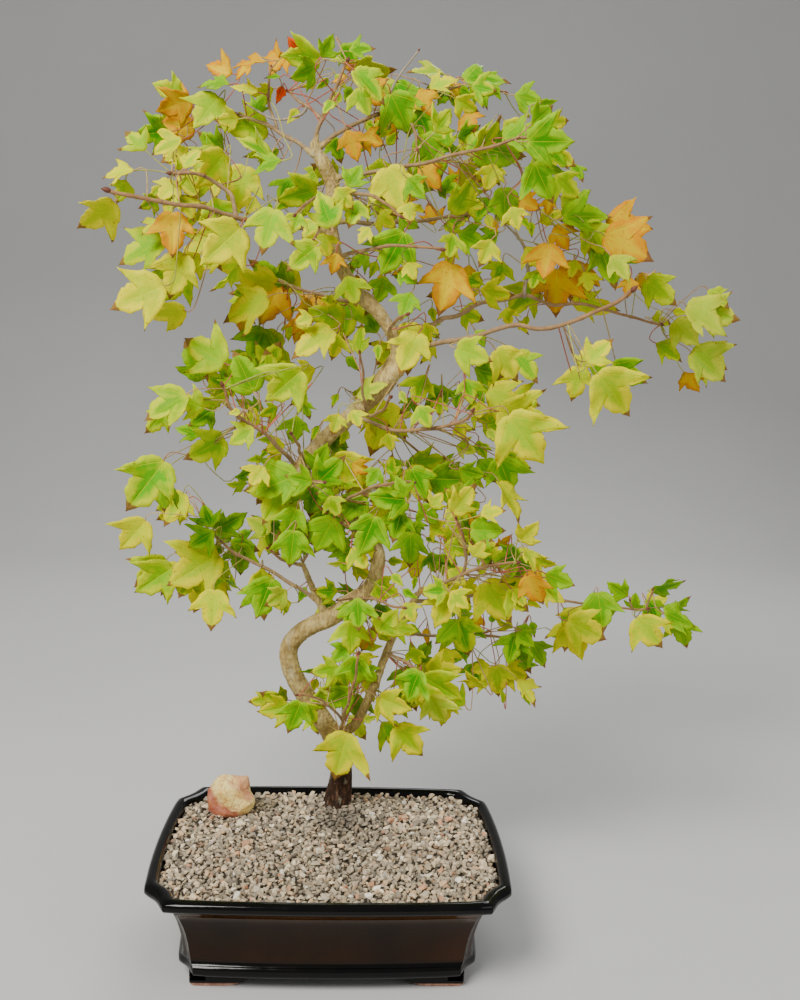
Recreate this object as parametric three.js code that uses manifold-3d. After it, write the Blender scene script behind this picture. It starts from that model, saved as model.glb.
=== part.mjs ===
// Trident maple bonsai in a glazed rectangular pot, with its soil, grit top dressing and a small stone.
// Units are millimetres, +Z is up, and the feet of the pot stand on z = 0.
import * as THREE from "three";
import { mergeVertices } from "three/addons/utils/BufferGeometryUtils.js";
import Module from "manifold-3d";

const wasm = await Module();
wasm.setup();
const { Manifold, Mesh: SolidMesh } = wasm;

// Driving dimensions of the pot, a 12 inch wide rectangle with cut corners.
const RIM_HALF_WIDTH = 147.2;
const RIM_HALF_DEPTH = 111.2;
const CORNER_CUT_X = 23;
const CORNER_CUT_Y = 33;
const CORNER_DIP = 2.4;
const SIDE_BOW = 4;
const FLOOR_TOP = 20.5;
const DRAIN_RADIUS = 9;
const DRAIN_X = 62;
const GAP = 0.4;
const FILL_GAP = 0.6;

// Each outer ring of the pot, from the underside up and over the lip: height, inset from the rim, and how much
// of the corner is cut.
const POT_OUTSIDE = [
  [12.7, 28, 0.6], [15, 25.2, 0.6], [19.5, 25, 0.6], [24.5, 29.2, 0.34], [40, 28.4, 0.28], [56, 25, 0.28],
  [67, 20.8, 0.3], [76.5, 13.6, 0.42], [78.3, 8, 0.62], [81, 1.4, 0.78], [84, 0, 0.8], [88, 1, 0.8],
  [90, 5, 0.8],
];
// Each inner ring, from the lip down to the floor.
const POT_INSIDE = [[89.4, 8], [86, 10], [80, 11.4], [66, 26], [46, 34], [FLOOR_TOP, 40]];
const INSIDE_CORNER = 0.8;

// The eye that the tree was read from, and the upright plane that its places are read in.
// Each place is [x, z, depth]: x and z in that plane, and depth behind it along the line of sight.
const EYE = new THREE.Vector3(4.75, -879.9, 518.9);
const READING_Y = 50;

// Trunk, from its foot in the soil to the crown fork: x, z, depth, radius.
const TRUNK = [
  [4, 69, 17, 9.5], [4, 88, 27, 12.4], [4, 98, 29, 12.6], [6, 116, 29, 11.2], [7, 132, 28, 10.4],
  [3, 156, 27, 9.6], [-4, 170, 25, 9.3], [-15, 186, 23, 9.0], [-29, 206, 20, 8.8], [-40, 228, 17, 8.6],
  [-43, 245, 15, 8.5], [-36, 258, 13, 8.4], [-22, 268, 10, 8.3], [-6, 276, 8, 8.6], [11, 289, 6, 7.7],
  [29, 304, 4, 7.0], [35, 323, 2, 6.6], [33, 340, 0, 6.8], [18, 356, -3, 6.8], [-4, 378, -4, 7.0],
  [-24, 394, -4, 7.2], [-34, 410, -4, 7.4], [-17, 433, -2, 7.2], [3, 453, 0, 7.0], [20, 469, 0, 7.5],
  [35, 486, -2, 9.8], [43, 500, -4, 8.6], [46, 515, -6, 5.6], [41, 529, -7, 5.2], [29, 547, -8, 6.0],
  [15, 560, -8, 6.4], [0, 577, -8, 5.8], [-10, 598, -10, 5.6], [-15, 631, -10, 5.4], [-13, 651, -12, 5.8],
  [-20, 667, -14, 6.2], [-27, 678, -15, 4.6], [-30, 686, -16, 3.2],
];
const TRUNK_SIDES = 8;
const SECOND_STEM_SIDES = 7;
const STUB_SIDES = 5;

// Second stem, which leaves the trunk low on the right.
const SECOND_STEM = [
  [2, 146, 27, 5.0], [8, 166, 20, 5.2], [20, 178, 14, 4.6], [34, 210, 7, 4.2], [43, 237, 2, 3.8],
  [50, 257, -2, 3.6], [60, 278, -6, 3.3], [72, 300, -9, 3.0],
];
// Stubs left where branches were cut long ago, fused to the trunk.
const STUBS = [
  [[-6, 270, 8, 4.0], [-17, 291, 4, 3.4], [-25, 308, 0, 2.8], [-31, 323, -4, 2.4]],
  [[34, 486, -2, 6.0], [47, 495, -12, 5.0], [52, 500, -18, 3.6]],
  [[4, 106, 29, 6.0], [-8, 92, 22, 5.0], [-16, 80, 16, 3.4]],
  [[6, 104, 30, 6.0], [18, 90, 22, 5.2], [27, 79, 18, 3.4]],
  [[4, 106, 31, 6.0], [8, 100, 37, 5.0], [11, 95, 41, 3.4]],
];

// Blade outline of a trident leaf of unit length: along the midrib, and across it.
const SHOULDER = [0.11, 0.31];
const SIDE_TIP = [0.49, 0.55];
const NOTCH = [0.41, 0.2];
// A smaller leaf has no shoulders, and a young one has one bulge on each side and no lobes.
const YOUNG_BULGE = [0.36, 0.3];
const SHOULDERED_FROM = 32;
const LOBED_FROM = 18;
const BLADE_THICKNESS = 0.9;
// What a leaf's own shape is drawn between: lean and sway in degrees, the rest as shares of its length.
const LEAN = [-10, 24];
const SWAY = [-15, 15];
const FOLD = [0.1, 0.32];
const CURL = [0.05, 0.15];
const LOBE_REACH = [0.82, 1.12];

// Stems, twigs and petioles. A stem has a node every so often, and leaves grow from its facets there.
const STEM_SIDES = 4;
const NODE_PITCH = 28;
const NODE_STEP = 3.6;
const FIRST_RING = 0.1;
const SIDE_STEM_THICKNESS = 0.8;
const TWIG_RADIUS = 1.25;
const TWIG_STOP = 26;
const TWIG_LEAD = 6;
const TWIG_BEND = 0.55;
const TWIG_RISE = 0.07;
const PETIOLE_RADIUS = 0.75;
const PETIOLE_REACH = 62;
const SHORTEST_PETIOLE = 6;
const PETIOLE_LEAD = 9;
const PETIOLE_LEAD_SHARE = 0.4;
const STRAIGHT_REACH = 20;
const STRAIGHT_FACING = 0.6;

// Room kept free: between bark and stem, between sprays, and inside one spray. A leaf that finds no room
// at its wanted depth is tried a step nearer or further, and at several buds.
const BARK_GAP = 0.45;
const CLEARANCE = 0.36;
const OWN_CLEARANCE = 0.02;
const SEAM = 0.05;
const LEAST_EDGE = 0.25;
// Facets flatter or narrower than this, which fusing and cutting leave, are merged away.
const SMALLEST = 0.02;
const DEPTH_STEP = 6;
const DEPTH_TRIES = 20;
const BUDS_TRIED = 12;
const LEAST_FACING = 0.25;
const GOOD_FACING = 0.6;
const TURNING_COST = 20;

// Leafy stems. A stem's points are [x, z, depth], and it tapers between its two radii. Its depths are
// read from how the branches overlap, and set DEPTH_GAIN times as far apart for a crown as deep as grown.
// A leaf is [x, z, aim, length, turn]: where its petiole meets the blade, the way its midrib points in
// degrees anticlockwise from the right, its length, and its turn about the midrib.
// spread is how far its leaves may lie in front of (-) or behind (+) the stem.
const DEPTH_GAIN = 1.6;
const SPRAYS = [
  {
    name: "spray_crown", spread: [-34, 38], radii: [2.4, 1.4],
    stems: [
      [[-29, 680, -15], [-25, 700, -18], [-16, 722, -20], [-8, 740, -22], [-3, 752, -22]],
      [[-24, 706, -18], [-38, 716, -10], [-52, 726, 0]],
    ],
    leaves: [
      [-26, 753, 178, 34, 40], [-25, 754, 60, 22, 35], [-2, 760, 12, 23, 35], [3, 749, 352, 36, 65],
      [3, 745, 320, 38, 40], [-28, 748, 215, 26, 45], [-4, 752, 180, 16, 50], [-2, 740, 200, 16, 40],
      [-28, 734, 205, 14, 50], [5, 731, 297, 27, 0], [-56, 730, 250, 16, 30], [-58, 737, 185, 14, 50],
      [-43, 712, 235, 16, 10], [-9, 727, 250, 16, 0], [-14, 720, 235, 16, 20], [-2, 697, 292, 28, 0],
      [12, 694, 330, 20, 30],
    ],
  },
  {
    name: "spray_crown_right", spread: [-36, 36], radii: [2.4, 1.3],
    stems: [
      [[-25, 682, -14], [0, 700, -12], [28, 712, -4], [56, 722, 8], [82, 734, 18], [110, 738, 26],
        [130, 733, 30]],
      [[44, 718, 0], [54, 702, -12], [58, 684, -24]],
    ],
    leaves: [
      [24, 690, 80, 20, 10], [34, 728, 300, 38, 0], [66, 733, 20, 26, 40], [58, 733, 300, 26, 20],
      [78, 745, 178, 32, 60], [72, 698, 55, 26, 20], [64, 697, 290, 44, 0], [33, 668, 290, 42, 0],
      [60, 672, 315, 30, 20], [50, 660, 310, 24, 25], [95, 742, 5, 42, 50], [99, 741, 338, 28, 40],
      [120, 738, 300, 14, 20], [92, 735, 318, 16, 30], [88, 727, 332, 24, 40], [138, 731, 350, 26, 10],
    ],
  },
  {
    name: "spray_upper_right", spread: [-30, 40], radii: [2.3, 1.3],
    stems: [
      [[-13, 657, -12], [20, 664, -22], [60, 672, -34], [95, 682, -44], [125, 690, -52],
        [150, 697, -58], [172, 694, -62]],
    ],
    leaves: [
      [154, 708, 42, 26, 20], [151, 694, 0, 40, 10], [172, 690, 318, 26, 40], [158, 677, 297, 38, 0],
      [176, 668, 320, 30, 10], [107, 688, 352, 46, 35], [104, 682, 65, 38, 70], [106, 684, 50, 36, 65],
      [124, 675, 255, 26, 0], [133, 655, 276, 32, 0], [146, 648, 330, 22, 20], [140, 640, 290, 22, 10],
      [100, 642, 345, 18, 30], [88, 634, 53, 38, 50],
    ],
  },
  {
    name: "spray_right_upper", spread: [-40, 30], radii: [2.5, 1.3],
    stems: [
      [[-12, 622, -10], [30, 622, -2], [80, 628, 10], [120, 636, 22], [160, 642, 32], [185, 636, 40],
        [205, 622, 46], [218, 610, 50]],
    ],
    leaves: [
      [182, 650, 340, 22, 30], [173, 650, 265, 18, 30], [185, 632, 8, 42, 40], [126, 628, 268, 16, 20],
      [157, 628, 280, 14, 10], [178, 625, 300, 24, 20], [202, 628, 310, 20, 10], [212, 622, 5, 16, 20],
      [124, 612, 250, 26, 15], [198, 598, 260, 18, 20], [205, 618, 308, 30, 50], [218, 610, 290, 40, 20],
      [228, 602, 310, 28, 20], [222, 619, 338, 50, 20], [174, 610, 262, 32, 0], [91, 616, 262, 24, 20],
      [95, 616, 340, 30, 20],
    ],
  },
  {
    name: "spray_upper_front", spread: [-26, 30], radii: [2.2, 1.3],
    stems: [
      [[-11, 640, -10], [8, 646, -28], [30, 640, -46], [46, 628, -60]],
    ],
    leaves: [
      [0, 650, 60, 24, 0], [10, 640, 250, 26, 0], [44, 628, 330, 20, 10], [26, 630, 320, 20, 0],
      [49, 615, 243, 42, 0], [20, 618, 235, 18, 30],
    ],
  },
  {
    name: "spray_upper_low", spread: [-26, 30], radii: [2.2, 1.3],
    stems: [
      [[-7, 592, -10], [20, 600, -28], [50, 604, -44], [82, 602, -54]],
    ],
    leaves: [
      [-8, 596, 260, 20, 20], [1, 577, 290, 28, 0], [20, 596, 215, 22, 20], [26, 590, 250, 16, 10],
      [34, 578, 255, 26, 10], [45, 582, 330, 20, 10], [52, 590, 300, 18, 10], [57, 565, 250, 26, 0],
      [91, 590, 258, 46, 0],
    ],
  },
  {
    name: "spray_upper_left_front", spread: [-26, 26], radii: [2.0, 1.3],
    stems: [
      [[-16, 638, -10], [-24, 642, -24], [-34, 636, -40], [-44, 626, -52]],
      [[-24, 641, -24], [-22, 622, -32], [-28, 606, -42]],
    ],
    leaves: [
      [-13, 617, 112, 34, 0], [-10, 650, 310, 24, 20], [-26, 648, 202, 36, 35], [-40, 628, 250, 20, 0],
      [-22, 612, 290, 24, 0], [-25, 601, 222, 34, 0],
    ],
  },
  {
    name: "spray_top_left", spread: [-38, 34], radii: [2.4, 1.3],
    stems: [
      [[-29, 676, -15], [-52, 690, -4], [-80, 702, 10], [-108, 708, 22], [-134, 700, 32],
        [-150, 692, 38]],
      [[-60, 694, 0], [-68, 720, 6], [-66, 744, 10]],
    ],
    leaves: [
      [-70, 749, 185, 30, 60], [-60, 752, 100, 16, 50], [-100, 729, 178, 28, 55], [-109, 719, 235, 34, 0],
      [-133, 717, 203, 32, 35], [-129, 694, 178, 32, 30], [-150, 690, 195, 28, 30],
      [-139, 684, 205, 30, 35], [-112, 679, 206, 34, 65], [-92, 702, 190, 20, 20], [-69, 697, 185, 38, 0],
      [-79, 707, 60, 20, 20], [-76, 724, 165, 24, 50], [-66, 672, 152, 30, 50], [-56, 670, 200, 28, 50],
    ],
  },
  {
    name: "spray_left_branch", spread: [-36, 36], radii: [3.0, 1.9],
    stems: [
      [[-14, 614, -10], [-40, 616, -18], [-69, 619, -26], [-93, 622, -34], [-121, 629, -42],
        [-142, 631, -46], [-170, 634, -52], [-200, 640, -56]],
      [[-93, 622, -34], [-100, 642, -32], [-122, 655, -30], [-148, 656, -30]],
    ],
    leaves: [
      [-196, 631, 218, 40, 45], [-179, 657, 190, 28, 50], [-147, 624, 272, 38, 10],
      [-155, 600, 205, 44, 30], [-142, 649, 225, 24, 20], [-142, 655, 315, 26, 10],
      [-138, 660, 55, 24, 40], [-104, 674, 238, 38, 40], [-86, 664, 256, 42, 0], [-113, 638, 288, 30, 0],
      [-90, 614, 228, 46, 0], [-62, 630, 255, 40, 0], [-108, 613, 200, 18, 20], [-78, 640, 250, 18, 30],
      [-155, 617, 215, 22, 50], [-137, 590, 248, 42, 0], [-155, 563, 205, 48, 15], [-92, 582, 226, 33, 80],
    ],
  },
  {
    name: "spray_left_upper", spread: [-44, 20], radii: [2.2, 1.3],
    stems: [
      [[22, 553, -8], [-6, 557, 6], [-31, 562, 16], [-60, 572, 26], [-74, 576, 32]],
    ],
    leaves: [
      [-56, 567, 243, 40, 0], [-60, 569, 170, 38, 50], [-66, 556, 206, 46, 35], [-69, 530, 250, 32, 0],
      [-58, 528, 240, 34, 30], [-31, 555, 253, 33, 60], [-45, 537, 260, 18, 40], [-27, 541, 200, 18, 20],
      [-11, 531, 214, 42, 40], [-6, 528, 262, 24, 20], [0, 557, 270, 37, 0],
    ],
  },
  {
    name: "spray_left_mid", spread: [-34, 34], radii: [2.6, 1.4],
    stems: [
      [[-36, 408, -4], [-50, 423, -14], [-68, 440, -24], [-86, 451, -32], [-97, 462, -38],
        [-104, 480, -42]],
    ],
    leaves: [
      [-102, 499, 150, 42, 0], [-77, 475, 116, 40, 0], [-135, 471, 212, 42, 35], [-101, 474, 208, 38, 70],
      [-111, 460, 218, 26, 15], [-102, 434, 210, 38, 15], [-88, 458, 190, 12, 20], [-70, 450, 170, 22, 40],
      [-76, 444, 213, 28, 20], [-36, 495, 222, 44, 0], [-32, 478, 230, 18, 30], [-154, 413, 235, 56, 0],
      [-93, 400, 20, 22, 60], [-67, 411, 235, 22, 10], [-52, 422, 210, 18, 30],
    ],
  },
  {
    name: "spray_centre_left", spread: [-26, 26], radii: [2.0, 1.3],
    stems: [
      [[-32, 414, -4], [-36, 424, -22], [-38, 431, -40], [-44, 440, -54]],
    ],
    leaves: [
      [-49, 430, 195, 20, 20], [-39, 456, 262, 27, 0], [-46, 397, 240, 42, 0], [-38, 404, 205, 44, 20],
    ],
  },
  {
    name: "spray_centre_low", spread: [-26, 26], radii: [2.0, 1.3],
    stems: [
      [[-28, 398, -4], [-30, 396, -24], [-22, 398, -40], [-14, 398, -50]],
    ],
    leaves: [
      [-22, 396, 262, 32, 0], [-20, 398, 45, 34, 10], [-24, 398, 170, 26, 10], [-10, 386, 300, 22, 0],
    ],
  },
  {
    name: "spray_centre", spread: [-30, 26], radii: [2.2, 1.3],
    stems: [
      [[18, 464, 0], [24, 458, -24], [34, 462, -44], [42, 474, -58]],
      [[22, 459, -18], [18, 474, -28], [17, 496, -36], [14, 512, -44]],
    ],
    leaves: [
      [14, 510, 92, 28, 45], [4, 520, 300, 10, 30], [50, 480, 300, 14, 30], [12, 474, 30, 30, 60],
      [39, 470, 255, 48, 0], [8, 462, 300, 18, 20], [-3, 459, 255, 20, 10], [2, 441, 232, 24, 0],
      [40, 443, 285, 18, 10],
    ],
  },
  {
    name: "spray_centre_top", spread: [-30, 26], radii: [2.2, 1.3],
    stems: [
      [[38, 530, -8], [40, 534, -28], [44, 540, -42], [54, 546, -50]],
    ],
    leaves: [
      [30, 520, 270, 16, 20], [64, 530, 245, 38, 0], [70, 540, 280, 20, 30],
    ],
  },
  {
    name: "spray_right_mid", spread: [-34, 34], radii: [2.4, 1.4],
    stems: [
      [[8, 458, 0], [45, 446, -10], [72, 447, -22], [106, 455, -34], [114, 464, -38]],
    ],
    leaves: [
      [72, 495, 250, 30, 0], [86, 487, 270, 22, 10], [92, 482, 215, 26, 20], [66, 468, 300, 24, 10],
      [107, 493, 285, 24, 0], [137, 465, 345, 50, 10], [146, 462, 308, 58, 0], [128, 484, 330, 34, 10],
      [121, 474, 265, 18, 20], [112, 465, 330, 20, 40], [128, 449, 310, 16, 20], [100, 453, 300, 18, 20],
      [139, 424, 295, 38, 0], [78, 404, 358, 38, 0], [104, 413, 345, 26, 20], [106, 402, 262, 20, 30],
      [140, 402, 303, 40, 65],
    ],
  },
  {
    name: "spray_right_back", spread: [-32, 34], radii: [3.0, 1.4],
    stems: [
      [[42, 506, -2], [60, 526, 4], [83, 542, 10], [96, 546, 14], [116, 557, 18], [136, 561, 22],
        [155, 566, 26], [177, 559, 30], [201, 560, 34], [224, 557, 36], [246, 551, 38], [276, 545, 40]],
      [[155, 566, 26], [155, 602, 28], [130, 632, 24]],
    ],
    leaves: [
      [106, 590, 265, 18, 20], [103, 578, 345, 18, 20], [135, 594, 250, 24, 0], [116, 569, 350, 30, 45],
      [140, 555, 280, 18, 30], [166, 588, 250, 20, 40], [182, 589, 272, 42, 0], [206, 588, 290, 20, 0],
      [198, 566, 340, 40, 60], [261, 583, 322, 36, 10], [286, 557, 350, 14, 20], [288, 548, 318, 32, 0],
      [298, 561, 330, 46, 30], [305, 522, 325, 44, 0],
    ],
  },
  {
    name: "spray_right_front", spread: [-30, 30], radii: [2.8, 1.9],
    stems: [
      [[46, 512, -5], [64, 518, -16], [84, 523, -26], [98, 525, -32], [121, 532, -38], [149, 540, -44],
        [168, 538, -46], [190, 541, -50], [213, 552, -54], [237, 563, -56], [249, 573, -58]],
    ],
    leaves: [
      [223, 501, 312, 52, 0], [213, 509, 50, 30, 30], [236, 509, 330, 34, 30], [98, 519, 340, 33, 0],
      [132, 518, 310, 36, 0],
    ],
  },
  {
    name: "spray_mid_front", spread: [-28, 26], radii: [2.0, 1.2],
    stems: [
      [[-2, 378, -4], [10, 386, -22], [28, 394, -36], [48, 400, -46], [64, 400, -52]],
    ],
    leaves: [
      [-6, 422, 312, 40, 0], [10, 416, 330, 20, 20], [34, 412, 235, 20, 0], [46, 404, 95, 22, 50],
      [21, 386, 225, 32, 0], [61, 384, 173, 38, 0], [58, 386, 115, 22, 15], [55, 375, 255, 30, 0],
      [64, 355, 269, 34, 0], [74, 382, 300, 26, 0], [59, 412, 305, 36, 0], [62, 412, 300, 32, 20],
      [92, 358, 320, 24, 40], [80, 362, 330, 20, 10],
    ],
  },
  {
    name: "spray_low_front", spread: [-26, 26], radii: [1.9, 1.2],
    stems: [
      [[20, 356, -3], [14, 356, -22], [8, 358, -36], [2, 362, -46]],
    ],
    leaves: [
      [9, 342, 260, 28, 0], [11, 340, 310, 24, 0], [-5, 366, 243, 38, 0], [-4, 366, 285, 24, 0],
      [31, 369, 250, 40, 0], [3, 326, 185, 14, 40],
    ],
  },
  {
    name: "spray_low_left", spread: [-30, 30], radii: [2.4, 1.3],
    stems: [
      [[-17, 291, 4], [-27, 297, 8], [-41, 306, 12], [-58, 316, 16], [-78, 326, 20], [-96, 336, 22],
        [-112, 350, 24], [-122, 366, 26]],
    ],
    leaves: [
      [-170, 360, 230, 46, 0], [-137, 385, 240, 34, 30], [-110, 352, 215, 30, 0], [-108, 353, 30, 32, 20],
      [-112, 355, 110, 24, 10], [-106, 331, 212, 54, 10], [-118, 330, 170, 26, 30],
      [-146, 319, 217, 44, 0], [-86, 342, 267, 32, 0], [-109, 299, 265, 38, 0], [-88, 301, 145, 24, 60],
      [-59, 310, 250, 36, 0], [-45, 300, 215, 24, 20],
    ],
  },
  {
    name: "spray_low_left_inner", spread: [-26, 26], radii: [1.9, 1.3],
    stems: [
      [[-31, 323, -4], [-46, 326, -16], [-62, 337, -24]],
      [[-31, 325, -4], [-27, 338, -16], [-30, 352, -24]],
    ],
    leaves: [
      [-38, 374, 248, 32, 0], [-40, 354, 264, 36, 0], [-60, 352, 150, 26, 0], [-52, 352, 250, 16, 20],
    ],
  },
  {
    name: "spray_low_centre", spread: [-30, 22], radii: [2.0, 1.2],
    stems: [
      [[11, 291, 6], [16, 294, -14], [34, 293, -30], [48, 288, -40], [60, 286, -46]],
      [[15, 294, -12], [4, 292, -20], [0, 292, -26]],
    ],
    leaves: [
      [14, 273, 268, 34, 0], [18, 295, 272, 30, 0], [0, 300, 178, 22, 0], [37, 262, 55, 30, 0],
      [52, 268, 350, 22, 0], [27, 262, 255, 18, 20], [60, 291, 300, 22, 0], [32, 308, 338, 26, 0],
      [33, 306, 305, 20, 10], [48, 317, 315, 16, 10], [58, 303, 330, 16, 20],
    ],
  },
  {
    name: "spray_right_low", spread: [-30, 26], radii: [2.4, 1.3],
    stems: [
      [[74, 302, -9], [90, 308, -20], [108, 316, -30], [122, 322, -36], [136, 327, -42],
        [160, 330, -48]],
      [[112, 318, -31], [114, 336, -36], [110, 354, -40], [104, 368, -44]],
    ],
    leaves: [
      [100, 374, 50, 34, 20], [125, 372, 15, 24, 50], [102, 378, 115, 22, 60], [102, 372, 300, 34, 30],
      [117, 359, 0, 32, 0], [117, 359, 88, 20, 10], [96, 348, 330, 26, 0], [93, 340, 0, 24, 0],
      [120, 334, 60, 20, 0], [98, 322, 320, 22, 0], [128, 318, 85, 14, 0], [82, 338, 285, 22, 0],
      [160, 349, 48, 26, 0], [162, 338, 200, 28, 0], [165, 344, 302, 26, 60], [176, 322, 150, 26, 20],
      [163, 325, 215, 22, 0], [131, 311, 305, 48, 0], [152, 304, 318, 28, 0], [184, 317, 178, 20, 0],
      [170, 318, 300, 34, 20], [186, 320, 340, 30, 0], [100, 302, 250, 36, 0], [100, 303, 185, 28, 10],
      [101, 302, 320, 22, 10],
    ],
  },
  {
    name: "spray_long_twig", spread: [-22, 26], radii: [2.0, 1.2],
    stems: [
      [[66, 292, -6], [100, 294, 0], [140, 302, 6], [173, 304, 10], [203, 296, 14], [225, 293, 16],
        [268, 289, 20], [281, 290, 20]],
      [[268, 289, 20], [264, 300, 18]],
      [[281, 290, 20], [285, 307, 18]],
    ],
    leaves: [
      [208, 277, 335, 44, 0], [212, 277, 285, 34, 0], [235, 304, 278, 36, 0], [263, 301, 150, 24, 20],
      [272, 281, 312, 40, 10], [285, 308, 13, 32, 50], [297, 287, 337, 36, 55],
    ],
  },
  {
    name: "spray_low_right", spread: [-28, 28], radii: [1.9, 1.2],
    stems: [
      [[52, 262, -3], [70, 262, 6], [90, 261, 12], [110, 264, 16], [128, 263, 20], [150, 260, 24],
        [164, 261, 26]],
    ],
    leaves: [
      [109, 277, 289, 40, 0], [109, 276, 228, 30, 0], [110, 278, 60, 20, 10], [140, 274, 90, 12, 0],
      [162, 266, 257, 30, 0], [160, 270, 160, 20, 50], [163, 266, 322, 20, 0], [176, 257, 305, 28, 35],
      [125, 268, 320, 14, 0], [98, 250, 285, 22, 0], [81, 268, 272, 16, 30], [69, 250, 288, 20, 30],
      [145, 234, 281, 34, 0], [140, 234, 200, 20, 0], [137, 212, 140, 28, 60], [152, 230, 350, 24, 0],
      [165, 221, 313, 28, 60],
    ],
  },
  {
    name: "spray_second_stem", spread: [-22, 24], radii: [1.8, 1.2],
    stems: [
      [[44, 244, 1], [54, 240, -14], [66, 234, -26], [80, 220, -34]],
    ],
    leaves: [
      [86, 204, 298, 34, 10], [79, 223, 327, 46, 0], [80, 223, 268, 30, 0], [82, 224, 15, 34, 10],
      [76, 228, 250, 34, 30], [57, 175, 310, 40, 0],
    ],
  },
  {
    name: "spray_bottom", spread: [-22, 16], radii: [2.0, 1.3],
    stems: [
      [[6, 160, 26], [7, 178, 6], [13, 200, -8], [18, 222, -16], [20, 242, -20]],
      [[7, 180, 4], [-8, 196, -8], [-22, 202, -14], [-34, 203, -18]],
    ],
    leaves: [
      [18, 240, 268, 32, 0], [3, 230, 190, 26, 0], [4, 229, 290, 20, 0], [24, 232, 310, 22, 0],
      [-20, 228, 200, 14, 50], [-2, 207, 170, 16, 0], [14, 208, 215, 32, 0], [20, 206, 270, 28, 0],
      [26, 180, 15, 14, 0], [-40, 192, 188, 30, 0], [-31, 197, 250, 32, 0], [-28, 196, 300, 24, 0],
      [12, 168, 256, 50, 0], [41, 202, 343, 30, 0],
    ],
  },
];

// Leaves on the far side: every so many large leaves has another behind it, hidden from the front.
const FIRST_SEED = 4001;
const SEED_STEP = 97;
const BACK_EVERY = 6;
const BACK_FROM = 30;
const BACK_OFFSET = [40, 74];
const BACK_DRIFT = [-9, 9];
const BACK_TURN = [-30, 30];
const BACK_SIZE = 0.85;

// Park and Miller's generator, so each draw is the same on every run.
function dice(seed) {
  let state = seed;
  return () => {
    state = (state * 48271) % 2147483647;
    return state / 2147483647;
  };
}

function solidOf(geometry) {
  geometry.deleteAttribute("normal");
  geometry.deleteAttribute("uv");
  const shared = mergeVertices(geometry, 1e-4);
  return new Manifold(new SolidMesh({
    numProp: 3,
    vertProperties: new Float32Array(shared.attributes.position.array),
    triVerts: new Uint32Array(shared.index.array),
  }));
}

function solidFrom(points, triangles) {
  const geometry = new THREE.BufferGeometry();
  const places = points.flatMap((p) => [p.x, p.y, p.z]);
  geometry.setAttribute("position", new THREE.Float32BufferAttribute(places, 3));
  geometry.setIndex(triangles.flat());
  return solidOf(geometry);
}

function geometryOf(solid) {
  const mesh = solid.getMesh();
  const geometry = new THREE.BufferGeometry();
  geometry.setAttribute("position", new THREE.BufferAttribute(new Float32Array(mesh.vertProperties), 3));
  geometry.setIndex(new THREE.BufferAttribute(new Uint32Array(mesh.triVerts), 1));
  geometry.computeVertexNormals();
  return geometry;
}

// A skin over closed rings of equal count, with a fan over each end.
function skin(rings) {
  const count = rings[0].length;
  const triangles = [];
  for (let r = 0; r + 1 < rings.length; r++) {
    for (let i = 0; i < count; i++) {
      const j = (i + 1) % count;
      const [a, b, c, d] = [r * count + i, r * count + j, (r + 1) * count + j, (r + 1) * count + i];
      triangles.push([a, b, c], [a, c, d]);
    }
  }
  const top = (rings.length - 1) * count;
  for (let i = 1; i + 1 < count; i++) {
    triangles.push([0, i + 1, i], [top, top + i, top + i + 1]);
  }
  return solidFrom(rings.flat(), triangles);
}

// Moves a place read in the upright plane back along its line of sight.
function at(x, z, depth) {
  const read = new THREE.Vector3(x, READING_Y, z);
  return read.sub(EYE).multiplyScalar(sizeAt(depth)).add(EYE);
}

function sizeAt(depth) {
  return 1 + depth / (READING_Y - EYE.y);
}

// Points and radii of a limb read as [x, z, depth, radius] places.
function pathOf(places) {
  return places.map(([x, z, depth, radius]) => ({ point: at(x, z, depth), radius }));
}

// A tapered round limb along a path, swept with as little twist as the path allows.
function limb(path, sides, grow = 0, lumps = () => 1) {
  const rings = [];
  let across = new THREE.Vector3(1, 0.2, 0.1);
  path.forEach(({ point, radius }, i) => {
    const ahead = path[Math.min(i + 1, path.length - 1)].point.clone();
    const along = ahead.sub(path[Math.max(i - 1, 0)].point).normalize();
    across = across.clone().addScaledVector(along, -across.dot(along)).normalize();
    const other = new THREE.Vector3().crossVectors(along, across);
    rings.push(Array.from({ length: sides }, (_, k) => {
      const angle = (2 * Math.PI * k) / sides;
      const r = radius * lumps(angle, i) + grow;
      const corner = point.clone().addScaledVector(across, r * Math.cos(angle));
      return corner.addScaledVector(other, r * Math.sin(angle));
    }));
  });
  return skin(rings);
}

// Low flutes in the bark, strongest where the trunk meets the soil.
function barkLumps(angle, i) {
  const foot = Math.max(0, 1 - i / 5);
  return 1 + (0.03 + 0.09 * foot) * Math.cos(4 * angle + 0.7 * i) + 0.03 * Math.sin(3 * angle - 1.3 * i);
}

function makeWood(grow = 0) {
  const parts = [limb(pathOf(TRUNK), TRUNK_SIDES, grow, barkLumps)];
  parts.push(limb(pathOf(SECOND_STEM), SECOND_STEM_SIDES, grow));
  STUBS.forEach((places) => parts.push(limb(pathOf(places), STUB_SIDES, grow)));
  return Manifold.union(parts).simplify(SMALLEST);
}

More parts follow.
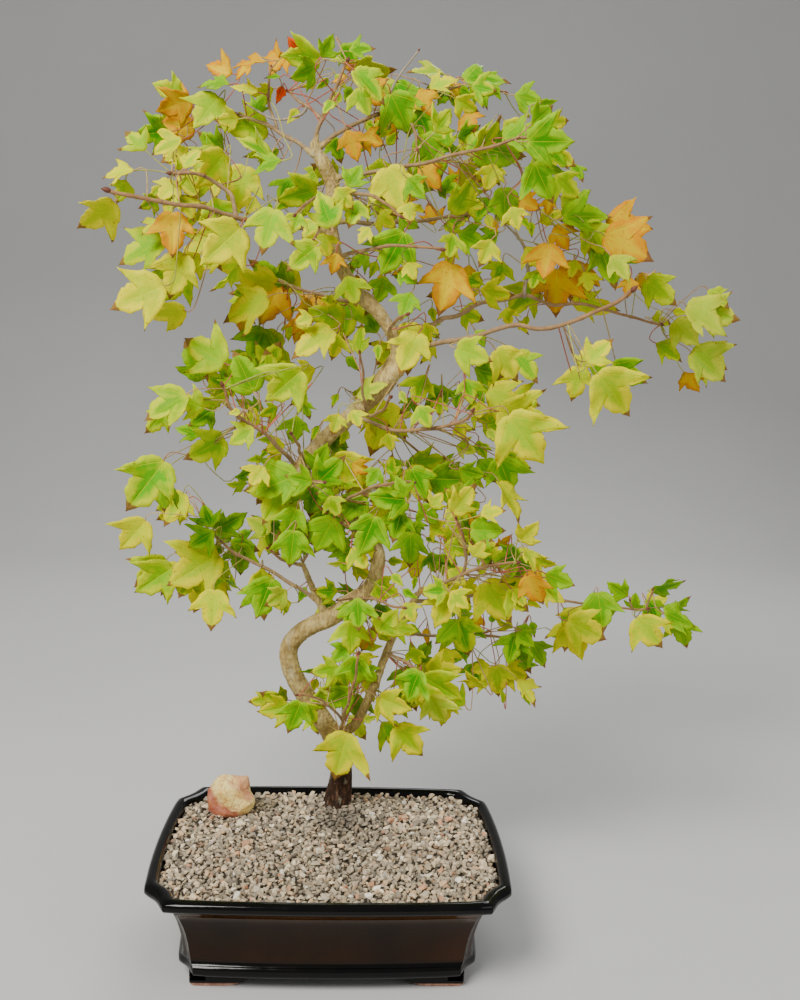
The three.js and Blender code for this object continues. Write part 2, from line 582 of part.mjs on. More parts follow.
// The closed outline of the pot at an inset from the rim.
function potOutline(inset, z, corner) {
  const hx = RIM_HALF_WIDTH - inset;
  const hy = RIM_HALF_DEPTH - inset;
  const cx = CORNER_CUT_X * corner;
  const cy = CORNER_CUT_Y * corner;
  const dip = CORNER_DIP * corner;
  const quarter = [
    [hx + SIDE_BOW, 0],
    [hx, hy - cy],
    [hx - 0.2 * cx - 0.2 * dip, hy - 0.8 * cy - 0.2 * dip],
    [hx - 0.5 * cx - dip, hy - 0.5 * cy - dip],
    [hx - 0.8 * cx - 0.2 * dip, hy - 0.2 * cy - 0.2 * dip],
    [hx - cx, hy],
    [0, hy + SIDE_BOW],
  ];
  const upperLeft = quarter.slice(0, -1).reverse().map(([x, y]) => [-x, y]);
  const lowerLeft = quarter.slice(1).map(([x, y]) => [-x, -y]);
  const lowerRight = quarter.slice(1, -1).reverse().map(([x, y]) => [x, -y]);
  return [...quarter, ...upperLeft, ...lowerLeft, ...lowerRight].map(([x, y]) => new THREE.Vector3(x, y, z));
}

// Inset of the pot's inner wall at a height.
function innerInset(z) {
  for (let i = 0; i + 1 < POT_INSIDE.length; i++) {
    const [z0, inset0] = POT_INSIDE[i];
    const [z1, inset1] = POT_INSIDE[i + 1];
    if (z <= z0 && z >= z1) return inset0 + ((inset1 - inset0) * (z0 - z)) / (z0 - z1);
  }
  return POT_INSIDE[0][1];
}

// The outline of what fills the pot, at a height. Above the top of the grit it goes straight up.
function fillOutline(z) {
  return potOutline(innerInset(Math.min(z, GRIT_TOP)) + FILL_GAP, z, INSIDE_CORNER);
}

// One L-shaped foot: two legs whose lower edge rises in a curve towards the middle of each side.
const FOOT_CORNER_X = 112;
const FOOT_CORNER_Y = 78;
const FOOT_LENGTH = 54;
const FOOT_THICKNESS = 15;
const FOOT_TOP = 14.5;
const FOOT_ROUND = 5;
const FOOT_TOE = 11;
const SIDE_FOOT_LENGTH = 42;
function footLeg(length) {
  const shape = new THREE.Shape();
  shape.moveTo(0, FOOT_TOP);
  shape.lineTo(0, FOOT_ROUND);
  shape.quadraticCurveTo(0, 0, FOOT_ROUND, 0);
  shape.lineTo(length * 0.5, 0);
  shape.quadraticCurveTo(length * 0.82, 0, length, FOOT_TOE);
  shape.lineTo(length, FOOT_TOP);
  const sweep = { depth: FOOT_THICKNESS, bevelEnabled: false, curveSegments: 3 };
  const leg = new THREE.ExtrudeGeometry(shape, sweep);
  leg.rotateX(Math.PI / 2);
  return leg;
}

function makeFoot(sideX, sideY) {
  const front = footLeg(FOOT_LENGTH);
  front.translate(-FOOT_CORNER_X, -FOOT_CORNER_Y + FOOT_THICKNESS, 0);
  const side = footLeg(SIDE_FOOT_LENGTH);
  side.rotateZ(Math.PI / 2);
  side.translate(-FOOT_CORNER_X, -FOOT_CORNER_Y, 0);
  const foot = solidOf(front).add(solidOf(side));
  if (sideX < 0 && sideY < 0) return foot;
  if (sideX > 0 && sideY > 0) return foot.rotate([0, 0, 180]);
  return sideX > 0 ? foot.mirror([1, 0, 0]) : foot.mirror([0, 1, 0]);
}

function drainHole(sideX) {
  const hole = new THREE.CylinderGeometry(DRAIN_RADIUS, DRAIN_RADIUS, 30, 14);
  hole.rotateX(Math.PI / 2);
  hole.translate(sideX * DRAIN_X, 0, FLOOR_TOP - 5);
  return solidOf(hole);
}

function makePot() {
  const outside = POT_OUTSIDE.map(([z, inset, corner]) => potOutline(inset, z, corner));
  const inside = POT_INSIDE.map(([z, inset]) => potOutline(inset, z, INSIDE_CORNER));
  const feet = [[-1, -1], [1, -1], [-1, 1], [1, 1]].map(([x, y]) => makeFoot(x, y));
  return Manifold.union([skin([...outside, ...inside]), ...feet]).subtract(drainHole(-1)).subtract(drainHole(1));
}

// A square of plastic mesh over each drain hole.
const SCREEN_HALF = 19;
const SCREEN_THICKNESS = 1.2;
const SCREEN_CELLS = 2;
const SCREEN_BAR = 3;
function makeScreen(sideX) {
  const z = FLOOR_TOP + GAP + SCREEN_THICKNESS / 2;
  const cell = (2 * SCREEN_HALF - SCREEN_BAR * (SCREEN_CELLS + 1)) / SCREEN_CELLS;
  let screen = boxSolid(2 * SCREEN_HALF, 2 * SCREEN_HALF, SCREEN_THICKNESS, sideX * DRAIN_X, 0, z);
  for (let i = 0; i < SCREEN_CELLS; i++) {
    for (let j = 0; j < SCREEN_CELLS; j++) {
      const x = sideX * DRAIN_X + (i - 0.5) * (cell + SCREEN_BAR);
      const y = (j - 0.5) * (cell + SCREEN_BAR);
      screen = screen.subtract(boxSolid(cell, cell, 2 * SCREEN_THICKNESS, x, y, z));
    }
  }
  return screen;
}

function boxSolid(sizeX, sizeY, sizeZ, x, y, z) {
  const box = new THREE.BoxGeometry(sizeX, sizeY, sizeZ);
  box.translate(x, y, z);
  return solidOf(box);
}

// Soil mix under the grit, with a plain hole for the foot of the trunk.
const SOIL_TOP = 72;
function makeSoil(woodFat) {
  const heights = [FLOOR_TOP + GAP, 46, 66, SOIL_TOP];
  let soil = skin(heights.map((z) => fillOutline(z)));
  for (const sideX of [-1, 1]) {
    const size = 2 * SCREEN_HALF + 2 * GAP;
    const room = boxSolid(size, size, 2 * (SCREEN_THICKNESS + 2 * GAP), sideX * DRAIN_X, 0, FLOOR_TOP + GAP);
    soil = soil.subtract(room);
  }
  return soil.subtract(woodFat);
}

// Grit top dressing: a layer whose top is raised into grains by a formula.
const GRIT_BOTTOM = SOIL_TOP + GAP;
const GRIT_TOP = 85;
const GRIT_PITCH = 18;
const GRIT_LUMP = 1.7;
const MOUND_X = 3;
const MOUND_Y = 66;
const MOUND_HEIGHT = 3.2;
const MOUND_REACH = 37;
function gritHeight(x, y) {
  const grain = Math.sin(x * 0.83 + 1.7 * Math.sin(y * 0.41)) + Math.cos(y * 0.77 + 1.9 * Math.sin(x * 0.37));
  const fromTrunk = Math.hypot(x - MOUND_X, y - MOUND_Y);
  return GRIT_TOP + 0.5 * GRIT_LUMP * grain + MOUND_HEIGHT * Math.exp(-((fromTrunk / MOUND_REACH) ** 2));
}

function makeGrit(woodFat, stoneFat) {
  const nx = Math.round((2 * RIM_HALF_WIDTH) / GRIT_PITCH);
  const ny = Math.round((2 * RIM_HALF_DEPTH) / GRIT_PITCH);
  const sheet = new THREE.BoxGeometry(2 * RIM_HALF_WIDTH, 2 * RIM_HALF_DEPTH, 30, nx, ny, 1);
  const place = sheet.attributes.position;
  for (let i = 0; i < place.count; i++) {
    const upper = place.getZ(i) > 0;
    place.setZ(i, upper ? gritHeight(place.getX(i), place.getY(i)) : GRIT_BOTTOM - GRIT_LUMP);
  }
  const heights = [GRIT_BOTTOM, 80, 86, 95];
  const inside = skin(heights.map((z) => fillOutline(z)));
  return solidOf(sheet).intersect(inside).subtract(woodFat).subtract(stoneFat).simplify(SMALLEST);
}

// The stone: a rough lump with a knob at its upper right, flat where it sits in the grit.
const STONE = new THREE.Vector3(-95, 61, 99.5);
const STONE_HALF = new THREE.Vector3(20.5, 15, 18.5);
const STONE_BOTTOM = 82.5;
const KNOB = new THREE.Vector3(0.62, 0.1, 0.78);
const KNOB_SIZE = 0.34;
const KNOB_REACH = 0.33;
function makeStone(grow = 0) {
  const lump = new THREE.IcosahedronGeometry(1, 2);
  const place = lump.attributes.position;
  const p = new THREE.Vector3();
  for (let i = 0; i < place.count; i++) {
    p.fromBufferAttribute(place, i);
    const rough = 1 + 0.09 * Math.sin(3.1 * p.x + 2.3 * p.z) + 0.07 * Math.cos(4.3 * p.y - 2.7 * p.z + 1);
    const knob = KNOB_SIZE * Math.exp(-p.distanceToSquared(KNOB) / KNOB_REACH ** 2);
    p.multiply(STONE_HALF).multiplyScalar(rough + knob);
    p.addScaledVector(p.clone().normalize(), grow).add(STONE);
    place.setXYZ(i, p.x, p.y, Math.max(p.z, STONE_BOTTOM - grow));
  }
  return solidOf(lump);
}

// The three axes of a leaf: along its midrib, across it, and out of its upper face.
function leafAxes(aim, lean, turn) {
  const a = THREE.MathUtils.degToRad(aim);
  const l = THREE.MathUtils.degToRad(lean);
  const t = THREE.MathUtils.degToRad(turn);
  const along = new THREE.Vector3(Math.cos(a) * Math.cos(l), -Math.sin(l), Math.sin(a) * Math.cos(l));
  const flat = new THREE.Vector3(-Math.sin(a), 0, Math.cos(a));
  const out = new THREE.Vector3().crossVectors(along, flat);
  const across = flat.clone().multiplyScalar(Math.cos(t)).addScaledVector(out, Math.sin(t));
  return { along, across, out: new THREE.Vector3().crossVectors(along, across) };
}

function drawFrom([least, most], draw) {
  return least + (most - least) * draw();
}

// A leaf's own shape, from seeded draws.
function leafForm([x, z, aim, length, turn], draw) {
  const lean = drawFrom(LEAN, draw);
  const sway = turn === 0 ? drawFrom(SWAY, draw) : turn * (draw() < 0.5 ? -1 : 1);
  return {
    x,
    z,
    axes: leafAxes(aim, lean, sway),
    length: length / Math.cos(THREE.MathUtils.degToRad(lean)),
    fold: drawFrom(FOLD, draw),
    curl: drawFrom(CURL, draw),
    left: drawFrom(LOBE_REACH, draw),
    right: drawFrom(LOBE_REACH, draw),
  };
}

// One half of a blade's outline, from the base to the tip.
function halfOutline(length, reach) {
  if (length < LOBED_FROM) return [YOUNG_BULGE];
  const lobe = [[SIDE_TIP[0] * reach, SIDE_TIP[1] * reach], NOTCH];
  return length < SHOULDERED_FROM ? lobe : [SHOULDER, ...lobe];
}

// A blade without its petiole, folded along the midrib and curled to its tip. Its last three points are
// the right, low and left corners of its open base, where the petiole joins.
function bladeShell(form, base) {
  const { along, across, out } = form.axes;
  const size = form.length * sizeAt(form.depth);
  const put = (s, t, h) => {
    const lift = (form.fold * Math.abs(t) - form.curl * s * s) * size;
    return base.clone().addScaledVector(along, s * size).addScaledVector(across, t * size)
      .addScaledVector(out, lift + h);
  };
  const right = halfOutline(form.length, form.right).map(([s, t]) => [s, -t]);
  const left = halfOutline(form.length, form.left).reverse();
  const edge = [...right, [1, 0], ...left];
  const h = BLADE_THICKNESS / 2;
  const n = edge.length;
  const tip = right.length;
  const corner = (a, o) => base.clone().addScaledVector(across, a).addScaledVector(out, o);
  const points = [...edge.map(([s, t]) => put(s, t, h)), ...edge.map(([s, t]) => put(s, t, -h))];
  const [baseRight, baseLow, baseLeft] = [2 * n, 2 * n + 1, 2 * n + 2];
  points.push(corner(-PETIOLE_RADIUS, h), corner(0, -PETIOLE_RADIUS), corner(PETIOLE_RADIUS, h));
  const triangles = [[baseRight, tip, baseLeft]];
  for (let i = 0; i + 1 < n; i++) {
    const top = i < tip ? baseRight : baseLeft;
    triangles.push([top, i, i + 1], [baseLow, n + i + 1, n + i]);
    triangles.push([i, n + i, n + i + 1], [i, n + i + 1, i + 1]);
  }
  triangles.push([baseRight, baseLow, n], [baseRight, n, 0]);
  triangles.push([n - 1, 2 * n - 1, baseLow], [n - 1, baseLow, baseLeft]);
  return { points, triangles, mouth: [baseRight, baseLow, baseLeft] };
}

// Joins one ring of points to the next with facets, and returns them. Each side is split along its shorter
// diagonal, so that a twisted side bulges and never folds in.
function joinRings(points, triangles, ring, next) {
  const facets = ring.flatMap((a, i) => {
    const j = (i + 1) % ring.length;
    const [b, c, d] = [ring[j], next[j], next[i]];
    const isLonger = points[a].distanceTo(points[c]) > points[b].distanceTo(points[d]);
    return isLonger ? [[a, b, d], [b, c, d]] : [[a, b, c], [a, c, d]];
  });
  triangles.push(...facets);
  return facets;
}

function closeRing(triangles, ring) {
  for (let i = 1; i + 1 < ring.length; i++) triangles.push([ring[0], ring[i], ring[i + 1]]);
}

function centreOf(points, ring) {
  return ring.reduce((sum, k) => sum.add(points[k]), new THREE.Vector3()).divideScalar(ring.length);
}

// A bud is a facet of a node that can bear a twig or a leaf.
function budOf(points, corners) {
  const [a, b, c] = corners.map((k) => points[k]);
  const normal = b.clone().sub(a).cross(c.clone().sub(a)).normalize();
  return { corners, centre: centreOf(points, corners), normal };
}

// Adds a ring of points around a place, set out like the ring before it.
function addRing(points, before, place, direction, radius) {
  const centre = centreOf(points, before);
  return before.map((k) => {
    const arm = points[k].clone().sub(centre);
    arm.addScaledVector(direction, -arm.dot(direction)).normalize();
    return points.push(place.clone().addScaledVector(arm, radius)) - 1;
  });
}

// Grows a stem with its nodes and buds along a curve, from a ring that is there already, and closes its tip.
function growStem(growth, ring, curve, thick, thin) {
  const length = curve.getLength();
  const nodes = Math.max(1, Math.round(length / NODE_PITCH));
  let last = ring;
  for (let k = 1; k <= nodes; k++) {
    for (const back of [NODE_STEP, 0]) {
      const u = Math.max(FIRST_RING, k / nodes - back / length);
      const radius = thick + (thin - thick) * u;
      const next = addRing(growth.points, last, curve.getPointAt(u), curve.getTangentAt(u), radius);
      const facets = joinRings(growth.points, growth.triangles, last, next);
      if (back === 0) growth.buds.push(...facets.map((corners) => budOf(growth.points, corners)));
      last = next;
    }
  }
  closeRing(growth.triangles, last);
}

function curveThrough(points) {
  return new THREE.CatmullRomCurve3(points, false, "catmullrom", 0.5);
}

// A bud's facet leaves the skin, so that what grows from it can join the three corners.
function openBud(growth, bud) {
  growth.triangles = growth.triangles.filter((facet) => facet !== bud.corners);
  growth.buds = growth.buds.filter((other) => other !== bud);
}

// Buds that face a place and aren't right at it, nearest first, those that face it well before those that
// hardly do.
function budsFor(growth, place, near) {
  const facing = ({ centre, normal }) => normal.dot(place.clone().sub(centre).normalize());
  const suits = (bud) => facing(bud) > LEAST_FACING && bud.centre.distanceTo(place) > SHORTEST_PETIOLE;
  const score = (bud) => bud.centre.distanceTo(near) + TURNING_COST * Math.max(0, GOOD_FACING - facing(bud));
  return growth.buds.filter(suits).sort((a, b) => score(a) - score(b));
}

// Grows all the stems of a spray: the first out of the trunk, the others from buds of the first.
function growStems(spray) {
  const growth = { points: [], triangles: [], buds: [] };
  const [thick, thin] = spray.radii;
  const root = spray.stems[0][0][2];
  spray.stems.forEach((places, s) => {
    const points = places.map(([x, z, depth]) => at(x, z, root + DEPTH_GAIN * (depth - root)));
    if (s > 0) {
      const [bud] = budsFor(growth, points[1], points[0]);
      openBud(growth, bud);
      const curve = curveThrough([bud.centre, ...points.slice(1)]);
      growStem(growth, bud.corners, curve, SIDE_STEM_THICKNESS * thick, thin);
      return;
    }
    const direction = points[1].clone().sub(points[0]).normalize();
    const across = new THREE.Vector3(0.3, 0.1, 1).cross(direction).normalize();
    const other = new THREE.Vector3().crossVectors(direction, across);
    const ring = Array.from({ length: STEM_SIDES }, (_, i) => {
      const angle = (2 * Math.PI * i) / STEM_SIDES;
      const corner = points[0].clone().addScaledVector(across, thick * Math.cos(angle));
      return growth.points.push(corner.addScaledVector(other, thick * Math.sin(angle))) - 1;
    });
    closeRing(growth.triangles, [...ring].reverse());
    growStem(growth, ring, curveThrough(points), thick, thin);
  });
  return growth;
}

// Rings of the rod from a bud to the base of a blade: place, radius, and whether buds form before it.
function rodRings(bud, base, along) {
  const reach = bud.centre.distanceTo(base);
  const rings = [];
  let from = bud.centre;
  if (reach > PETIOLE_REACH) {
    const end = base.clone().lerp(bud.centre, TWIG_STOP / reach).addScaledVector(along, -TWIG_LEAD);
    const near = from.clone().lerp(end, TWIG_BEND).add(new THREE.Vector3(0, 0, TWIG_RISE * reach));
    rings.push({ place: near, radius: TWIG_RADIUS });
    rings.push({ place: end.clone().lerp(near, NODE_STEP / end.distanceTo(near)), radius: TWIG_RADIUS });
    rings.push({ place: end, radius: TWIG_RADIUS, isNode: true });
    from = end;
  }
  const left = base.clone().sub(from);
  const isStraight = left.length() < STRAIGHT_REACH && left.normalize().dot(along) > STRAIGHT_FACING;
  if (isStraight && rings.length === 0) return rings;
  const lead = Math.min(PETIOLE_LEAD, PETIOLE_LEAD_SHARE * base.distanceTo(from));
  rings.push({ place: base.clone().addScaledVector(along, -lead), radius: PETIOLE_RADIUS });
  return rings;
}

// The way through a place, halfway between the way in and the way out.
function bisector(before, place, after) {
  const wayIn = place.clone().sub(before).normalize();
  const wayOut = after.clone().sub(place).normalize();
  return wayIn.add(wayOut).normalize();
}

// The mouth of a blade, turned so that the rod that joins it to a ring twists least.
function turnedMouth(points, ring, mouth) {
  const twist = (turn) => turn.reduce((sum, k, i) => sum + points[k].distanceTo(points[ring[i]]), 0);
  return [0, 1, 2].map((k) => [mouth[k], mouth[(k + 1) % 3], mouth[(k + 2) % 3]])
    .sort((a, b) => twist(a) - twist(b))[0];
}

// Grows a leaf from a bud on its own, unless its rod would fold into itself. The bud's three corners are
// its first points.
function growLeaf(growth, bud, shell, base, along) {
  const points = bud.corners.map((k) => growth.points[k].clone());
  const triangles = [];
  const buds = [];
  const rings = rodRings(bud, base, along);
  const places = [bud.centre, ...rings.map(({ place }) => place), base];
  let last = [0, 1, 2];
  rings.forEach(({ place, radius, isNode }, i) => {
    const next = addRing(points, last, place, bisector(places[i], place, places[i + 2]), radius);
    const facets = joinRings(points, triangles, last, next);
    if (isNode) buds.push(...facets);
    last = next;
  });
  const first = points.length;
  points.push(...shell.points);
  const mouth = turnedMouth(points, last, shell.mouth.map((k) => k + first));
  joinRings(points, triangles, last, mouth);
  if (isSpoilt(points, triangles)) return null;
  const rod = closedRod(points, triangles, mouth, bud.normal, along);
  triangles.push(...shell.triangles.map((facet) => facet.map((k) => k + first)));
  return { points, triangles, buds, rod };
}

// Whether some facet has hardly any width, or an edge that passes through another facet.
function isSpoilt(points, triangles) {
  const ray = new THREE.Ray();
  const spot = new THREE.Vector3();
  const pierces = (from, to, facet) => {
    if (facet.includes(from) || facet.includes(to)) return false;
    ray.origin.copy(points[from]);
    ray.lookAt(points[to]);
    const hit = ray.intersectTriangle(...facet.map((k) => points[k]), false, spot);
    return hit !== null && spot.distanceTo(points[from]) < points[to].distanceTo(points[from]);
  };
  return triangles.some((facet) => facet.some((k, i) => {
    const next = facet[(i + 1) % 3];
    const isShort = points[k].distanceTo(points[next]) < LEAST_EDGE;
    return isShort || triangles.some((other) => pierces(k, next, other));
  }));
}

// The rod alone, closed and a seam short at both ends, to feel whether its way is free.
function closedRod(points, triangles, mouth, normal, along) {
  const moved = points.map((point, k) => {
    if (k < 3) return point.clone().addScaledVector(normal, SEAM);
    return mouth.includes(k) ? point.clone().addScaledVector(along, -SEAM) : point;
  });
  const used = [...new Set(triangles.flat())];
  const facets = [...triangles, [2, 1, 0], mouth].map((facet) => facet.map((k) => used.indexOf(k)));
  return solidFrom(used.map((k) => moved[k]), facets);
}

// Makes a leaf that was grown on its own part of its spray.
function joinLeaf(growth, bud, { points, triangles, buds }) {
  const shift = growth.points.length - 3;
  const place = (k) => (k < 3 ? bud.corners[k] : k + shift);
  openBud(growth, bud);
  growth.points.push(...points.slice(3));
  for (const facet of triangles) {
    const corners = facet.map(place);
    growth.triangles.push(corners);
    if (buds.includes(facet)) growth.buds.push(budOf(growth.points, corners));
  }
}

function boxesMeet(a, b, margin) {
  return [0, 1, 2].every((k) => a.min[k] - margin < b.max[k] && b.min[k] - margin < a.max[k]);
}

// Depths to try for a leaf, nearest to the wanted one first.
function depthTries(wanted) {
  const tries = [wanted];
  for (let k = 1; k <= DEPTH_TRIES; k++) tries.push(wanted + k * DEPTH_STEP, wanted - k * DEPTH_STEP);
  return tries;
}

// Leaves wanted on a spray: those that were read, and now and then one on its far side.
function wantedLeaves(spray, draw) {
  const wanted = [];
  spray.leaves.forEach((leaf, i) => {
    wanted.push({ form: leafForm(leaf, draw), offset: drawFrom(spray.spread, draw) });
    const [x, z, aim, length, turn] = leaf;
    if (length < BACK_FROM || i % BACK_EVERY !== 1) return;
    const drift = drawFrom(BACK_DRIFT, draw);
    const rise = drawFrom(BACK_DRIFT, draw);
    const twin = [x + drift, z + rise, aim + drawFrom(BACK_TURN, draw), length * BACK_SIZE, turn];
    wanted.push({ form: leafForm(twin, draw), offset: drawFrom(BACK_OFFSET, draw) });
  });
  return wanted;
}

// Grows one leaf if at its depth it can reach a bud and touches nothing, and returns what it fills.
function tryLeaf(growth, form, isFree) {
  const base = at(form.x, form.z, form.depth);
  const shell = bladeShell(form, base);
  const blade = solidFrom(shell.points, [...shell.triangles, [...shell.mouth].reverse()]);
  if (!isFree(blade)) return [];
  for (const bud of budsFor(growth, base, base).slice(0, BUDS_TRIED)) {
    const leaf = growLeaf(growth, bud, shell, base, form.axes.along);
    if (leaf && leaf.rod.minGap(blade, 1) > OWN_CLEARANCE && isFree(leaf.rod)) {
      joinLeaf(growth, bud, leaf);
      return [blade, leaf.rod];
    }
  }
  return [];
}

// Grows every spray: first all the stems, then leaf by leaf at the first depth where it touches nothing.
function growSprays(wood, woodFat) {
  const filled = [];
  const fill = (solid, owner) => filled.push({ solid, box: solid.boundingBox(), owner });
  const isFree = (solid, owner) => {
    const box = solid.boundingBox();
    return !filled.some((other) => {
      const room = other.owner === owner ? OWN_CLEARANCE : CLEARANCE;
      return boxesMeet(box, other.box, room) && solid.minGap(other.solid, 1) < room;
    });
  };
  const growths = SPRAYS.map((spray) => {
    const growth = growStems(spray);
    const stem = solidFrom(growth.points, growth.triangles);
    const shown = stem.subtract(woodFat);
    if (!isFree(shown, spray.name)) console.log(spray.name, "crosses another stem");
    fill(stem, spray.name);
    return growth;
  });
  fill(wood, "trunk");
  SPRAYS.forEach((spray, index) => {
    const growth = growths[index];
    const draw = dice(FIRST_SEED + SEED_STEP * index);
    for (const { form, offset } of wantedLeaves(spray, draw)) {
      const place = at(form.x, form.z, spray.stems[0][0][2]);
      const target = stemDepth(growth, place) + offset;
      let solids = [];
      for (const depth of depthTries(target)) {
        form.depth = depth;
        solids = tryLeaf(growth, form, (solid) => isFree(solid, spray.name));
        if (solids.length) break;
      }
      if (!solids.length) console.log(spray.name, "has no room for the leaf at", form.x, form.z);
      solids.forEach((solid) => fill(solid, spray.name));
    }
  });
  return SPRAYS.map(({ name }, index) => {
    const { points, triangles } = growths[index];
    return { name, solid: largestPiece(solidFrom(points, triangles).subtract(woodFat).simplify(SMALLEST)) };
  });
}

// Depth of the bud nearest to a place.
function stemDepth(growth, place) {
  const nearest = growth.buds.reduce((a, b) =>
    (b.centre.distanceTo(place) < a.centre.distanceTo(place) ? b : a));
  return nearest.centre.y - READING_Y;
}

function largestPiece(solid) {
  return solid.decompose().sort((a, b) => b.volume() - a.volume())[0];
}

function meshOf(name, solid, color, roughness) {
  const material = new THREE.MeshStandardMaterial({ color, roughness, metalness: 0 });
  const mesh = new THREE.Mesh(geometryOf(solid), material);
  mesh.name = name;
  return mesh;
}

const wood = makeWood();
const woodFat = makeWood(BARK_GAP);
const sprays = growSprays(wood, woodFat);

const bonsai = new THREE.Group();
bonsai.add(meshOf("pot", makePot(), 0x1a120c, 0.15));
bonsai.add(meshOf("drain_screen_left", makeScreen(-1), 0x222222, 0.6));
bonsai.add(meshOf("drain_screen_right", makeScreen(1), 0x222222, 0.6));
bonsai.add(meshOf("soil", makeSoil(woodFat), 0x4a3626, 0.95));
bonsai.add(meshOf("grit", makeGrit(woodFat, makeStone(GAP)), 0xb0a596, 0.9));
bonsai.add(meshOf("stone", makeStone(), 0xd9a987, 0.8));
bonsai.add(meshOf("trunk", wood, 0x9a8668, 0.85));
for (const { name, solid } of sprays) {
  bonsai.add(meshOf(name, solid, 0xb4c814, 0.5));
}

// The whole stands with the middle of its own box over the origin.
const whole = new THREE.Box3().setFromObject(bonsai);
const middle = whole.getCenter(new THREE.Vector3());
bonsai.position.set(-middle.x, -middle.y, -whole.min.z);

export default bonsai;
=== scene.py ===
# Trident maple bonsai in its glazed pot: the looks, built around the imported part.
# Lengths that are read from the photo are millimetres from the pot's middle, and the scene is in metres.
import math

import bmesh
import bpy
import numpy as np
from mathutils import Matrix, Vector, noise


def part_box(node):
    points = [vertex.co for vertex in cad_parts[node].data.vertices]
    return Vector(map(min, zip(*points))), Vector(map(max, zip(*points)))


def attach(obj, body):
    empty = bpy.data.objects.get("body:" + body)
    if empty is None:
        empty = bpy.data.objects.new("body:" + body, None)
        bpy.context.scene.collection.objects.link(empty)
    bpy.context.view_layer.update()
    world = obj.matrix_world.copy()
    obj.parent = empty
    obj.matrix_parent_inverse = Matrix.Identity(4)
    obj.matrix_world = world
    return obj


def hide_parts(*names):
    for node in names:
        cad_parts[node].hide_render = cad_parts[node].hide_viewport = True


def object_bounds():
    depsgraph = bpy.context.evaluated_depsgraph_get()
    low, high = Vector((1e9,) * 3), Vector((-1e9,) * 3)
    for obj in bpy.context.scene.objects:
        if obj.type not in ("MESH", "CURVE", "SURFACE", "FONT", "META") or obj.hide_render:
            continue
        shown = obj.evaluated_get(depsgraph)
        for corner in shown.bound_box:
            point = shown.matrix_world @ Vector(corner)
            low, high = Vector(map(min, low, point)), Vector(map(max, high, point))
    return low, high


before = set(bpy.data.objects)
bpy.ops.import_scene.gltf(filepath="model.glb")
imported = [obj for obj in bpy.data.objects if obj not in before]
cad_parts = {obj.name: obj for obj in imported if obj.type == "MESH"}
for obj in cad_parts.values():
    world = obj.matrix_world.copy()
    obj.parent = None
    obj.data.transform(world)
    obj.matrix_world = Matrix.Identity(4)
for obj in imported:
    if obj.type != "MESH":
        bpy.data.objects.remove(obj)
cad_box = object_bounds()

MM = 0.001
POT_BOX = np.array([list(corner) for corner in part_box("pot")])
POT_MIDDLE = np.array([POT_BOX[:, 0].mean(), POT_BOX[:, 1].mean(), 0.0])


def to_frame(points):
    """Millimetres from the pot's middle, as metres in the part's frame."""
    return np.asarray(points, dtype=float) * MM + POT_MIDDLE


# Camera: the eye that the tree was read from.
EYE = np.array([4.75, -879.9, 518.9])
YAW = 0.0519
PITCH = 0.144
ROLL = 0.0329
SENSOR = 36.0
FOCAL_LENGTH = 38.24
CLIP = (0.01, 20)


def make_camera():
    forward = np.array([math.sin(YAW) * math.cos(PITCH), math.cos(YAW) * math.cos(PITCH), -math.sin(PITCH)])
    level = np.array([math.cos(YAW), -math.sin(YAW), 0.0])
    upright = np.cross(level, forward)
    right = level * math.cos(ROLL) + upright * math.sin(ROLL)
    up = upright * math.cos(ROLL) - level * math.sin(ROLL)
    data = bpy.data.cameras.new("camera")
    data.sensor_fit = "VERTICAL"
    data.sensor_height = SENSOR
    data.lens = FOCAL_LENGTH
    data.clip_start, data.clip_end = CLIP
    camera = bpy.data.objects.new("camera", data)
    matrix = np.eye(4)
    matrix[:3, 0] = right
    matrix[:3, 1] = up
    matrix[:3, 2] = -forward
    matrix[:3, 3] = to_frame(EYE)
    camera.matrix_world = Matrix(matrix.tolist())
    bpy.context.scene.collection.objects.link(camera)
    bpy.context.scene.camera = camera


make_camera()


DICE_STEP = 48271
DICE_MODULUS = 2147483647


def dice(seed):
    """A minimal standard random generator, the same as in the part's own source."""
    state = seed

    def draw():
        nonlocal state
        state = (state * DICE_STEP) % DICE_MODULUS
        return state / DICE_MODULUS

    return draw


def new_object(name, points, faces, materials, smooth=True):
    mesh = bpy.data.meshes.new(name)
    mesh.from_pydata([tuple(p) for p in points], [], [tuple(int(k) for k in f) for f in faces])
    for material in materials:
        mesh.materials.append(material)
    mesh.polygons.foreach_set("use_smooth", [smooth] * len(mesh.polygons))
    mesh.update()
    piece = bpy.data.objects.new(name, mesh)
    bpy.context.scene.collection.objects.link(piece)
    return piece


def add_colours(piece, name, colours):
    layer = piece.data.attributes.new(name, "FLOAT_COLOR", "POINT")
    rgba = np.ones((len(colours), 4))
    rgba[:, :3] = colours
    layer.data.foreach_set("color", rgba.ravel())


def add_values(piece, name, values):
    layer = piece.data.attributes.new(name, "FLOAT", "POINT")
    layer.data.foreach_set("value", np.asarray(values, dtype=float).ravel())


def apply_modifiers(piece):
    bpy.context.view_layer.update()
    graph = bpy.context.evaluated_depsgraph_get()
    made = bpy.data.meshes.new_from_object(piece.evaluated_get(graph))
    old = piece.data
    piece.modifiers.clear()
    piece.data = made
    bpy.data.meshes.remove(old)


